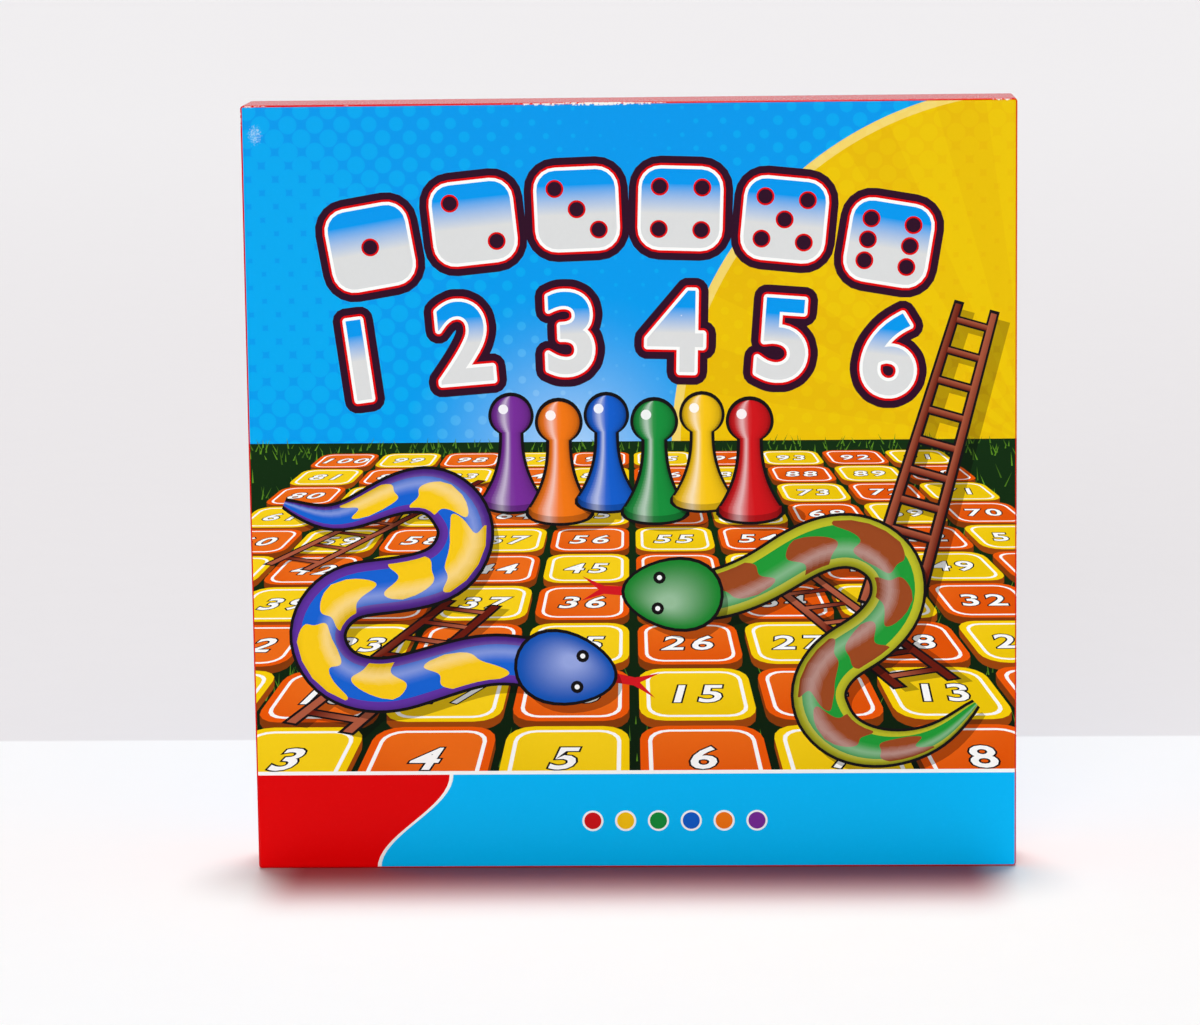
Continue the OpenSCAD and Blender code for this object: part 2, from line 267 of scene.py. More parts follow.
def make_grain_group():
    """Fine mottle and a height for coated or bare paper and moulded plastic."""
    group, given, result = new_group(
        "surface_grain",
        [("Scale", "NodeSocketFloat", 900.0), ("Stretch", "NodeSocketVector", (1, 1, 1)),
         ("Contrast", "NodeSocketFloat", 0.3)],
        [("Height", "NodeSocketFloat"), ("Mottle", "NodeSocketFloat")],
    )
    wire = Wiring(group)
    place = wire.place()
    stretched = wire.vector("MULTIPLY", place, given.outputs["Stretch"])
    fine = wire.noise(stretched, given.outputs["Scale"], 3.0, 0.6)
    broad = wire.noise(place, 24.0, 2.0)
    both = wire.maths("ADD", wire.maths("MULTIPLY", fine, 0.7), wire.maths("MULTIPLY", broad, 0.3))
    centred = wire.maths("SUBTRACT", both, 0.5)
    wire.join(fine, result.inputs["Height"])
    wire.join(wire.maths("MULTIPLY_ADD", centred, given.outputs["Contrast"], 1.0), result.inputs["Mottle"])
    return group


def make_wear_group():
    """Mask of rubbed and chipped places along the edges of a box-shaped piece."""
    group, given, result = new_group(
        "edge_wear",
        [("Middle", "NodeSocketVector", (0, 0, 0)), ("Half Size", "NodeSocketVector", (1, 1, 1)),
         ("Reach", "NodeSocketFloat", EDGE_R * MM), ("Amount", "NodeSocketFloat", 0.5),
         ("Run Middle", "NodeSocketVector", FAR_AWAY),
         ("Run Reach", "NodeSocketVector", (48 * MM, 4 * MM, 4 * MM))],
        [("Chips", "NodeSocketFloat")],
    )
    wire = Wiring(group)
    place = wire.place()
    offset = wire.vector("ABSOLUTE", wire.vector("SUBTRACT", place, given.outputs["Middle"]))
    inside = wire.vector("SUBTRACT", given.outputs["Half Size"], offset)
    x, y, z = wire.split(inside)
    largest = wire.maths("MAXIMUM", wire.maths("MAXIMUM", x, y), z)
    total = wire.maths("ADD", wire.maths("ADD", x, y), z)
    distance = wire.maths("SUBTRACT", total, largest)
    near = wire.maths("SUBTRACT", 1.0, wire.maths("DIVIDE", distance, given.outputs["Reach"]), clamp=True)
    patches = wire.noise(place, 26.0, 2.0)
    flakes = wire.noise(place, 900.0, 3.0, 0.7)
    rough = wire.maths("ADD", wire.maths("MULTIPLY", near, 0.35), wire.maths("MULTIPLY", flakes, 0.9))
    level = wire.split(wire.vector("SUBTRACT", place, given.outputs["Middle"]))[2]
    full = wire.split(given.outputs["Half Size"])[2]
    # The upper edge is handled most
    handled = wire.ramp(wire.maths("DIVIDE", level, full), 0.9, 0.98, 0.45, 1.0)
    amount = wire.maths("MULTIPLY", given.outputs["Amount"], handled)
    scattered = wire.maths("ADD", rough, wire.maths("MULTIPLY", wire.ramp(patches, 0.45, 0.7), amount))
    # One run along an edge is rubbed through to bare paper
    aside = wire.vector("SUBTRACT", place, given.outputs["Run Middle"])
    beyond = wire.length(wire.vector("DIVIDE", aside, given.outputs["Run Reach"]))
    worn = wire.maths("ADD", scattered, wire.ramp(beyond, 1.0, 0.3, 0.0, 0.42))
    chips = wire.maths("MULTIPLY", wire.ramp(worn, 1.0, 1.04), wire.ramp(near, 0.02, 0.3))
    wire.join(chips, result.inputs["Chips"])
    return group


def make_halftone_group():
    """A diagonal grid of printed dots, alike on the left and the right, that shrink away from a place."""
    group, given, result = new_group(
        "halftone_dots",
        [("Pitch", "NodeSocketFloat", 6.6 * MM), ("From", "NodeSocketVector", (0, 0, 0)),
         ("Fade", "NodeSocketFloat", 170 * MM), ("Largest", "NodeSocketFloat", 0.6)],
        [("Dots", "NodeSocketFloat")],
    )
    wire = Wiring(group)
    place = wire.place()
    x, _, z = wire.split(place)
    diagonal = wire.maths("MULTIPLY", given.outputs["Pitch"], math.sqrt(2))
    cell = []
    for way in ("ADD", "SUBTRACT"):
        row = wire.maths("DIVIDE", wire.maths(way, z, x), diagonal)
        cell.append(wire.maths("SUBTRACT", wire.maths("FRACT", row), 0.5))
    radius = wire.length(wire.node("ShaderNodeCombineXYZ", {0: cell[0], 1: cell[1]}).outputs[0])
    away = wire.length(wire.vector("SUBTRACT", wire.vector("ABSOLUTE", place), given.outputs["From"]))
    fade = wire.ramp(away, 0.0, given.outputs["Fade"], 1.0, 0.0)
    limit = wire.maths("MULTIPLY", fade, given.outputs["Largest"])
    inside = wire.maths("MULTIPLY_ADD", wire.maths("SUBTRACT", limit, radius), 22.0, 0.5, clamp=True)
    wire.join(wire.maths("MULTIPLY", inside, wire.ramp(fade, 0.0, 0.2)), result.inputs["Dots"])
    return group


GROUP_MAKERS = {
    "surface_grain": make_grain_group, "edge_wear": make_wear_group, "halftone_dots": make_halftone_group,
}


def placed(wire, name, **values):
    """A shared node group, made once and placed in a material with its own values."""
    node = wire.node("ShaderNodeGroup")
    node.node_tree = bpy.data.node_groups.get(name) or GROUP_MAKERS[name]()
    for label, value in values.items():
        node.inputs[label.replace("_", " ")].default_value = value
    return node


def new_material(name, **sockets):
    """A material and its wiring, with constants set on the shader's own sockets."""
    material = bpy.data.materials.new(name)
    material.use_nodes = True
    wire = Wiring(material.node_tree)
    shader = material.node_tree.nodes["Principled BSDF"]
    for label, value in sockets.items():
        shader.inputs[label.replace("_", " ")].default_value = value
    return material, wire, shader


def bumped(wire, shader, height, strength, distance):
    """Gives the shader a relief, as deep as distance where the height is 1."""
    bump = wire.node("ShaderNodeBump", {"Height": height, "Strength": strength, "Distance": distance})
    wire.join(bump.outputs[0], shader.inputs["Normal"])


def printed_paper(name, half_size, middle, dots_from, wear, gloss=0.26, scuffed=None, worn_run=FAR_AWAY):
    """Printed and laminated paper: ink from the mesh, halftone dots, rubbed edges and soft gloss.

    scuffed is the place of a pale rub, if there is one. worn_run is the middle of a run along an edge
    that is rubbed through, far away if there is none."""
    material, wire, shader = new_material(name, Coat_Roughness=0.12, Specular_Tint=(0.05, 0.05, 0.05, 1))
    ink = wire.node("ShaderNodeAttribute", attribute_name="ink")
    dots = placed(wire, "halftone_dots", Pitch=sizes().dot_pitch * MM, From=dots_from)
    screen = wire.maths("MULTIPLY", dots.outputs[0], ink.outputs["Alpha"])
    pale = wire.node("ShaderNodeGamma", {"Color": ink.outputs["Color"], "Gamma": 0.82}).outputs[0]
    lighter = wire.blend(screen, ink.outputs["Color"], pale)
    grain = placed(wire, "surface_grain", Scale=700.0, Contrast=0.05)
    tinted = wire.blend(1.0, lighter, grain.outputs["Mottle"], mode="MULTIPLY")
    if scuffed:
        place = wire.place()
        narrower = (1.4, 1.0, 1.0)
        offset = wire.vector("MULTIPLY", wire.vector("SUBTRACT", place, scuffed), narrower)
        rub = wire.noise(place, 1500.0, 4.0)
        ragged = wire.maths("ADD", wire.length(offset), wire.maths("MULTIPLY", rub, 6 * MM))
        within = wire.ramp(ragged, 6.6 * MM, 4.2 * MM)
        scuff = wire.maths("MULTIPLY", within, wire.ramp(rub, 0.35, 0.6, 0.5, 0.1))
        tinted = wire.blend(scuff, tinted, linear(214, 232, 244))
    edge = placed(wire, "edge_wear", Middle=middle, Half_Size=half_size, Amount=wear, Run_Middle=worn_run)
    worn = wire.blend(edge.outputs["Chips"], tinted, linear(244, 240, 232))
    wire.join(worn, shader.inputs["Base Color"])
    rough = wire.ramp(grain.outputs["Height"], 0.2, 0.8, gloss - 0.015, gloss + 0.02)
    chips, coat = edge.outputs["Chips"], 0.03
    wire.join(wire.maths("MULTIPLY_ADD", chips, 0.5, rough), shader.inputs["Roughness"])
    wire.join(wire.maths("MULTIPLY_ADD", chips, -coat, coat), shader.inputs["Coat Weight"])
    height = wire.maths("SUBTRACT", grain.outputs["Height"], chips)
    bumped(wire, shader, height, 0.03, 0.06 * MM)
    return material


def bare_board(name, red, green, blue):
    """Grey recycled board: flecks of fibre, darker and lighter, on a matt face."""
    material, wire, shader = new_material(name, Roughness=0.9, Specular_IOR_Level=0.25)
    grain = placed(wire, "surface_grain", Scale=1400.0, Stretch=(1.0, 1.0, 0.35), Contrast=0.5)
    place = wire.place()
    flecks = wire.node("ShaderNodeTexVoronoi", {"Vector": place, "Scale": 620.0, "Randomness": 1.0})
    dark = wire.ramp(flecks.outputs["Distance"], 0.16, 0.08)
    base = wire.blend(1.0, linear(red, green, blue), grain.outputs["Mottle"], mode="MULTIPLY")
    flecked = wire.blend(wire.maths("MULTIPLY", dark, 0.35), base, linear(70, 62, 54))
    wire.join(flecked, shader.inputs["Base Color"])
    bumped(wire, shader, grain.outputs["Height"], 0.5, 0.12 * MM)
    return material


def moulded_plastic(name, colour, rough, subsurface=0.0):
    """Smooth moulded plastic with a faint mottle and a thin glossy skin."""
    material, wire, shader = new_material(
        name, Coat_Weight=0.15, Coat_Roughness=0.1, Subsurface_Weight=subsurface, Subsurface_Scale=2 * MM)
    grain = placed(wire, "surface_grain", Scale=420.0, Contrast=0.05)
    mottled = wire.blend(1.0, colour, grain.outputs["Mottle"], mode="MULTIPLY")
    wire.join(mottled, shader.inputs["Base Color"])
    uneven = wire.ramp(grain.outputs["Height"], 0.25, 0.75, rough - 0.05, rough + 0.07)
    wire.join(uneven, shader.inputs["Roughness"])
    bumped(wire, shader, grain.outputs["Height"], 0.15, 0.05 * MM)
    return material


LINEN_PITCH = 0.9 * MM      # twice the spacing of the backing paper's ribs


def linen_paper(name, colour):
    """Embossed backing paper: two crossed ribs, with the colour paler on their tops."""
    material, wire, shader = new_material(name, Roughness=0.5)
    place = wire.place()
    x, _, z = wire.split(place)
    ribs = []
    for across in (x, z):
        phase = wire.maths("MULTIPLY", across, math.tau / LINEN_PITCH)
        ribs.append(wire.maths("ABSOLUTE", wire.maths("SINE", phase)))
    weave = wire.maths("MULTIPLY", *ribs)
    grain = placed(wire, "surface_grain", Scale=1100.0, Contrast=0.3)
    base = wire.blend(1.0, colour, grain.outputs["Mottle"], mode="MULTIPLY")
    # The colour turns paler on top of the ribs
    rubbed = wire.blend(wire.maths("MULTIPLY", weave, 0.18), base, (0.6, 0.62, 0.7))
    wire.join(rubbed, shader.inputs["Base Color"])
    bumped(wire, shader, weave, 0.6, 0.08 * MM)
    return material


def leaflet_paper():
    """Thin white paper with a coloured band and a plain squared diagram on its front."""
    material, wire, shader = new_material("leaflet_paper", Roughness=0.62)
    low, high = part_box("rules_leaflet")
    across, _, up = wire.split(wire.vector("SUBTRACT", wire.place(), low))
    width, height, margin, over = high.x - low.x, high.z - low.z, 9 * MM, 0.4 * MM
    squares, band_height = 8, 22 * MM
    pitch = (width - 2 * margin) / squares
    lines, within = [], []
    for value, last in ((across, width - margin), (up, margin + squares * pitch)):
        cell = wire.maths("DIVIDE", wire.maths("SUBTRACT", value, margin), pitch)
        share = wire.maths("FRACT", wire.maths("ADD", cell, 0.5))
        near = wire.maths("ABSOLUTE", wire.maths("SUBTRACT", share, 0.5))
        lines.append(wire.maths("LESS_THAN", near, 0.03))
        within.append(wire.maths("GREATER_THAN", value, margin - over))
        within.append(wire.maths("LESS_THAN", value, last + over))
    grid = wire.maths("MAXIMUM", *lines)
    for inside in within:
        grid = wire.maths("MULTIPLY", grid, inside)
    band = wire.maths("GREATER_THAN", up, height - band_height)
    grain = placed(wire, "surface_grain", Scale=1300.0, Contrast=0.08)
    paper = wire.blend(band, linear(244, 243, 238), inks().sky)
    printed = wire.blend(wire.maths("MULTIPLY", grid, 0.8), paper, linear(60, 60, 66))
    mottled = wire.blend(1.0, printed, grain.outputs["Mottle"], mode="MULTIPLY")
    wire.join(mottled, shader.inputs["Base Color"])
    bumped(wire, shader, grain.outputs["Height"], 0.2, 0.05 * MM)
    return material


# Flat printed artwork

def area(points):
    """Area inside a loop of points, above zero where the loop runs anticlockwise."""
    return sum(a[0] * b[1] - b[0] * a[1] for a, b in zip(points, points[1:] + points[:1])) / 2


def holds(loop, point):
    """Whether a point lies inside a loop."""
    x, y = point
    inside = False
    for a, b in zip(loop, loop[1:] + loop[:1]):
        if (a[1] > y) != (b[1] > y) and x < a[0] + (b[0] - a[0]) * (y - a[1]) / (b[1] - a[1]):
            inside = not inside
    return inside


class Artwork:
    """Shapes in painter's order, in millimetres, merged into one mesh whose faces don't overlap."""

    finest = 0.008          # nothing thinner than this is printed
    apart = 0.002           # points closer than this are one point
    straight = 0.002        # a line that turns by less than this, in radians, counts as straight

    def __init__(self):
        self.shapes = []
        self.creases = []

    def mark_fade(self, start, end, half_width):
        """Lays mesh edges where a fade starts and ends, so that large faces keep it in its place."""
        side = (Vector(end) - Vector(start)).orthogonal().normalized() * half_width
        for spot in (Vector(start), Vector(end)):
            self.creases.append([spot - side, spot + side])

    def add(self, points, ink, screen=0.0):
        """ink is a colour, a function that gives the colour at a point, or a number.

        A shape with a number for ink is a shadow: it darkens what lies under it by that share."""
        pieces = [points]
        if len(points) == 4 and (area(points[:3]) > 0) != (area(points[2:] + points[:1]) > 0):
            pieces = [points[:3], points[2:] + points[:1]]
        for piece in pieces:
            piece = [tuple(p) for p, q in zip(piece, piece[1:] + piece[:1])
                     if math.dist(p, q) > self.finest]
            size = area(piece)
            span = max((math.dist(p, q) for p, q in zip(piece, piece[1:] + piece[:1])), default=0)
            if len(piece) > 2 and abs(size) > self.finest * span:
                self.shapes.append((piece if size > 0 else piece[::-1], ink, screen))

    def merged(self, outline, creases=()):
        """The visible faces inside the outline: the points, and for each face its points, the shape that
        it shows and the share of light that shadows leave on it.

        Edges run along each crease, which is a line of points."""
        points = [Vector(p) for p in outline]
        faces = [list(range(len(outline)))]
        edges = []
        for crease in [*creases, *self.creases]:
            edges += [(len(points) + i, len(points) + i + 1) for i in range(len(crease) - 1)]
            points += [Vector(p) for p in crease]
        for shape, _, _ in self.shapes:
            faces.append(list(range(len(points), len(points) + len(shape))))
            points += [Vector(p) for p in shape]
        cut = delaunay_2d_cdt(points, edges, faces, 0, self.apart)
        cut_points, cut_edges, cut_faces, _, edge_owners, owners = cut
        bm = bmesh.new()
        spots = [bm.verts.new((*p, 0)) for p in cut_points]
        looks, examples = {}, []
        for face, owner in zip(cut_faces, owners):
            if 0 in owner:
                middle = sum((cut_points[i] for i in face), Vector((0, 0))) / 3
                shape, light = self.shown([i - 1 for i in sorted(owner, reverse=True) if i > 0], middle)
                _, ink, screen = self.shapes[shape]
                look = (shape if callable(ink) else ink, screen, light)
                if look not in looks:
                    looks[look] = len(looks)
                    examples.append((shape, light))
                bm.faces.new([spots[i] for i in face]).material_index = looks[look]
        for ends, owner in zip(cut_edges, edge_owners):
            edge = bm.edges.get([spots[i] for i in ends])
            if edge and min(owner, default=len(edges)) < len(edges):
                edge.seam = True
        # Lines that nothing shows along are dissolved, within creases and changes of ink
        bm.normal_update()
        bmesh.ops.dissolve_limit(bm, angle_limit=self.straight, verts=bm.verts, edges=bm.edges,
                                 delimit={"MATERIAL", "SEAM"})
        bmesh.ops.triangulate(bm, faces=bm.faces)
        bmesh.ops.delete(bm, geom=[v for v in bm.verts if not v.link_faces], context="VERTS")
        bm.verts.index_update()
        kept = [([v.index for v in f.verts], *examples[f.material_index]) for f in bm.faces]
        flat = [v.co.xy.copy() for v in bm.verts]
        bm.free()
        return flat, kept

    def shown(self, owners, point):
        """The topmost shape at a point and the light left by the shadows over it."""
        light = 1.0
        for i in owners:
            outline, ink, _ = self.shapes[i]
            if holds(outline, point):
                if not isinstance(ink, float):
                    return i, light
                light = min(light, 1 - ink)
        return 0, light

    def colour(self, owner, light, point):
        """The ink at a point of a shape, with the strength of its halftone screen as a fourth value."""
        _, ink, screen = self.shapes[owner]
        return (*(c * light for c in (ink(point) if callable(ink) else ink)), screen)


def fade(first, start, second, end):
    """A colour that runs from first at the point start to second at the point end."""
    start, along = Vector(start), Vector(end) - Vector(start)
    reach = along.length_squared

    def ink(point):
        share = (Vector(point) - start).dot(along) / reach
        return mixed(first, second, min(max(share, 0.0), 1.0))
    return ink


SHADOW = 0.5                # the share of light that a pictured shadow takes


def ring(x, y, radius, count=28, squash=1.0):
    """A circle, or an oval where squash isn't 1."""
    turn = math.tau / count
    return [(x + radius * math.cos(i * turn), y + squash * radius * math.sin(i * turn))
            for i in range(count)]


def rectangle(x0, y0, x1, y1):
    """Four corners, anticlockwise from the lower left."""
    return [(x0, y0), (x1, y0), (x1, y1), (x0, y1)]


def rounded(x0, y0, x1, y1, radius, count=5):
    """A rectangle with round corners."""
    points = []
    for quarter, (cx, cy) in enumerate(((x1 - radius, y1 - radius), (x0 + radius, y1 - radius),
                                        (x0 + radius, y0 + radius), (x1 - radius, y0 + radius))):
        for i in range(count + 1):
            angle = (quarter + i / count) * math.pi / 2
            points.append((cx + radius * math.cos(angle), cy + radius * math.sin(angle)))
    return points


def turned(points, centre, angle):
    """The points turned about a centre."""
    spin = Matrix.Rotation(angle, 2)
    return [tuple(spin @ (Vector(p) - Vector(centre)) + Vector(centre)) for p in points]


def hull(points):
    """The outline drawn tight round a set of points."""
    return [points[i] for i in convex_hull_2d(points)]


DIGITS = {}                 # the triangles of each digit, as they are first asked for
DIGIT_MIDDLE = 0.31, 0.36   # the middle of a digit that is one unit high


def digit_shapes(digit, grow, steps=3):
    """Triangles of one digit of Blender's own font, one unit high, with steps along each of its curves."""
    if (digit, grow) not in DIGITS:
        curve = bpy.data.curves.new("digit", "FONT")
        curve.body = digit
        curve.offset = grow
        curve.resolution_u = steps
        writer = bpy.data.objects.new("digit", curve)
        bpy.context.scene.collection.objects.link(writer)
        bpy.context.view_layer.update()
        mesh = writer.evaluated_get(bpy.context.evaluated_depsgraph_get()).to_mesh()
        DIGITS[digit, grow] = [[tuple(mesh.vertices[i].co.xy) for i in face.vertices]
                               for face in mesh.polygons]
        writer.to_mesh_clear()
        bpy.data.objects.remove(writer)
        bpy.data.curves.remove(curve)
    return DIGITS[digit, grow]


def add_number(art, text, centre, height, place, ink, outline):
    """A number in slanted digits with a dark outline, drawn through the function place."""
    advance, slant = 0.62, 0.18
    for grow, colour in ((0.055, outline), (0.018, ink)):
        for i, digit in enumerate(str(text)):
            shift = (i - (len(str(text)) - 1) / 2) * advance - DIGIT_MIDDLE[0]
            for triangle in digit_shapes(digit, grow):
                art.add([place((centre[0] + height * (x + shift + slant * y),
                                centre[1] + height * (y - DIGIT_MIDDLE[1]))) for x, y in triangle], colour)


def along(path, steps):
    """Points and sideways directions at even steps along a smooth line through the path's points."""
    knots = [Vector(p) for p in path]
    ends = [2 * knots[0] - knots[1]] + knots + [2 * knots[-1] - knots[-2]]
    spots = []
    for i in range(steps + 1):
        place = i / steps * (len(knots) - 1)
        k = min(int(place), len(knots) - 2)
        t = place - k
        a, b, c, d = ends[k:k + 4]
        spots.append(0.5 * (2 * b + (c - a) * t + (2 * a - 5 * b + 4 * c - d) * t * t
                            + (3 * b - a - 3 * c + d) * t ** 3))
    smoothings = steps // 10
    for _ in range(smoothings):
        spots[1:-1] = [(a + 2 * b + c) / 4 for a, b, c in zip(spots, spots[1:], spots[2:])]
    result = []
    for i, spot in enumerate(spots):
        forward = (spots[min(i + 1, steps)] - spots[max(i - 1, 0)]).normalized()
        result.append((spot, Vector((-forward.y, forward.x))))
    return result


class Winding:
    """The body of a snake: a smooth line with a width at each step along it."""

    def __init__(self, path, radius, steps):
        self.line = along(path, steps)
        self.radius = radius
        self.steps = steps

    def at(self, step, across, grow=0.0):
        """The place at a step along the body, from -1 on its right to 1 on its left."""
        step = min(max(step, 0.0), self.steps - 0.001)
        i = int(step)
        (p, n), (q, m) = self.line[i], self.line[i + 1]
        share = step / self.steps
        girth, neck = min(1.0, 0.1 + 2.4 * share ** 0.75), 0.14 * max(0.0, share - 0.8) / 0.2
        half = self.radius * (girth - neck) + grow
        return p.lerp(q, step - i) + n.lerp(m, step - i) * half * across

    def quad(self, low_steps, high_steps, low, high, grow=0.0):
        """Four places: at two steps along one line of the body, and back along another."""
        return [self.at(low_steps[0], low, grow), self.at(low_steps[1], low, grow),
                self.at(high_steps[1], high, grow), self.at(high_steps[0], high, grow)]


def lit(colour, across):
    """A round body's colour across it, lit from the upper left."""
    shade = 0.5 + 0.55 * math.sqrt(max(0.0, 1 - across * across)) - 0.12 * across
    pale = max(0.0, 1 - abs(across - 0.35) * 2.4)
    return mixed(scaled(colour, min(shade, 1.0)), (1, 1, 1), 0.22 * pale)


def add_shaded(art, quad, colour, low, high):
    """One piece of a round body, which fades from its first side to its last as the light falls."""
    art.add(quad, fade(lit(colour, low), quad[0], lit(colour, high), quad[3]))


def add_patch(art, body, centre, reach, shift, colour, bands):
    """A wavy-edged patch on a snake's back, in strips that follow the round shading."""
    def extent(across):
        inside = 1 - ((across - shift) / 0.85) ** 2
        half = reach * math.sqrt(max(0.0, inside)) * (1 + 0.25 * math.sin(5 * across + centre))
        lean = 0.4 * reach * math.sin(2.6 * across + 2 * centre)
        return centre - half + lean, centre + half + lean

    parts, least = 4, 0.3
    for low, high in zip(bands, bands[1:]):
        near, far = extent(low), extent(high)
        if near[1] - near[0] + far[1] - far[0] < least:
            continue
        near, far = even(*near, parts), even(*far, parts)
        for k in range(parts):
            add_shaded(art, body.quad(near[k:k + 2], far[k:k + 2], low, high), colour, low, high)


SNAKE_DROP = Vector((0.3, -0.42))       # how far a pictured snake's shadow falls, in its half widths
SNAKE_SKINS = {                         # the colours of the back, its patches and the belly
    "blue": (linear(20, 96, 205), linear(246, 200, 20), linear(96, 50, 160)),
    "green": (linear(30, 150, 52), linear(150, 70, 30), linear(190, 190, 40)),
    "red": (linear(210, 40, 40), linear(250, 220, 150), linear(130, 20, 40)),
    "purple": (linear(130, 60, 170), linear(120, 210, 200), linear(60, 20, 90)),
    "orange": (linear(240, 130, 20), linear(60, 90, 190), linear(160, 60, 20)),
}


def add_snake(art, path, radius, skin, outline, steps=84, patches=8):
    """A patterned snake seen from above: outline, round-shaded body, patches, plain head and tongue."""
    back, patch, belly = SNAKE_SKINS[skin]
    body = Winding(path, radius, steps)
    bands = even(-1, 1, 12)
    spot, side = body.line[-1]
    heading = Vector((side.y, -side.x))
    spans = [(i, i + 1) for i in range(steps)]
    for span in spans:
        art.add([p + SNAKE_DROP * radius for p in body.quad(span, span, -1, 1)], SHADOW)
    add_tongue(art, spot, heading, side, radius)
    for span in spans:
        art.add(body.quad(span, span, -1, 1, 0.12 * radius), outline)
    for span in spans:
        for low, high in zip(bands, bands[1:]):
            tint = belly if low < -0.8 or high > 0.8 else back
            add_shaded(art, body.quad(span, span, low, high), tint, low, high)
    for k in range(patches):
        centre = steps * (0.12 + 0.76 * k / (patches - 1))
        reach = (0.034 + 0.009 * (k % 3)) * steps
        add_patch(art, body, centre, reach, 0.25 * (-1) ** k, patch, even(-0.84, 0.84, 22))
    add_head(art, spot, heading, side, radius, back, outline)


def add_tongue(art, spot, heading, side, radius):
    """A forked tongue in front of a snake's head."""
    red = linear(206, 20, 30)
    root, fork = spot + heading * radius * 2.2, spot + heading * radius * 3.3
    right, left = fork - side * radius * 0.16, fork + side * radius * 0.16
    art.add([root - side * radius * 0.2, right, left, root + side * radius * 0.2], red)
    for sign in (-1, 1):
        art.add([right, fork + heading * radius * 0.9 + side * sign * radius * 0.5, left], red)


def add_head(art, spot, heading, side, radius, colour, outline):
    """A plain rounded head from above, with two small dots."""
    def oval(grow, count=30):
        points = []
        for i in range(count):
            angle = math.tau * i / count
            reach = radius * (1.9 + grow) * math.cos(angle)
            wide = radius * (1.35 + grow) * math.sin(angle) * (1 - 0.2 * math.cos(angle))
            points.append(spot + heading * (reach + 0.6 * radius) + side * wide)
        return points
    art.add([p + SNAKE_DROP * radius for p in oval(0.0)], SHADOW)
    art.add(oval(0.13), outline)
    shine = spot + heading * radius * 0.8 + side * 0.4 * radius
    dark, pale, steps = scaled(colour, 0.7), mixed(colour, (1, 1, 1), 0.3), 28
    for k in range(steps):
        lift = k / steps
        art.add([p.lerp(shine, lift * 0.85) for p in oval(0.0)], mixed(dark, pale, lift ** 1.5))
    for sign in (-1, 1):
        eye = spot + heading * radius * 1.15 + side * sign * radius * 0.62
        for size, ink in ((0.25, outline), (0.1, (0.9, 0.9, 0.9))):
            art.add(ring(eye.x, eye.y, radius * size, 12), ink)


def add_ladder(art, foot, top, width, rungs, colour, outline, place=tuple, taper=1.0):
    """Two rails and their rungs, with a dark edge and a lit side on each."""
    foot, top = Vector(foot), Vector(top)
    line = (top - foot).normalized()
    side = Vector((-line.y, line.x))
    bar = width * 0.13
    thick = 0.62            # the coloured share of a bar's half thickness
    dark, pale = scaled(colour, 0.45), mixed(colour, (1.0, 0.5, 0.25), 0.16)
    drop = Vector((0.18, -0.14)) * width

    def corners(start, end, near, far):
        return [place(start - near), place(end - far), place(end + far), place(start + near)]

    def add_bar(start, end, near, far, tints):
        quad = corners(start, end, near, far)
        inner, outer = ((Vector(quad[i]) + Vector(quad[i + 1])) / 2 for i in (0, 2))
        art.add(quad, fade(tints[0], inner, tints[1], outer))

    def rung(k):
        """Where a rung lies, half its length and the share that the taper leaves of its size."""
        share = (k + 0.5) / rungs
        left = 1 + (taper - 1) * share
        return foot.lerp(top, share), width / 2 * left, left

    for sign in (-1, 1):
        start, end = foot + side * sign * width / 2, top + side * sign * width / 2 * taper
        art.add(corners(start + drop, end + drop, side * bar, side * bar), SHADOW)
    for k in range(rungs):
        spot, reach, _ = rung(k)
        spot = spot + drop
        half = line * bar * 0.8
        art.add(corners(spot - side * reach, spot + side * reach, half, half), SHADOW)
    for grow, tints in ((0.45, (outline, outline)), (0.0, (dark, pale))):
        for k in range(rungs):
            spot, reach, left = rung(k)
            half = line * (bar * 0.85 * left * (thick + grow))
            add_bar(spot - side * reach, spot + side * reach, half, half, tints)
        for sign in (-1, 1):
            start, end = foot + side * sign * width / 2, top + side * sign * width / 2 * taper
            add_bar(start - line * bar * grow, end + line * bar * grow, side * (bar * (thick + grow)),
                    side * (bar * (thick + grow) * taper), tints)


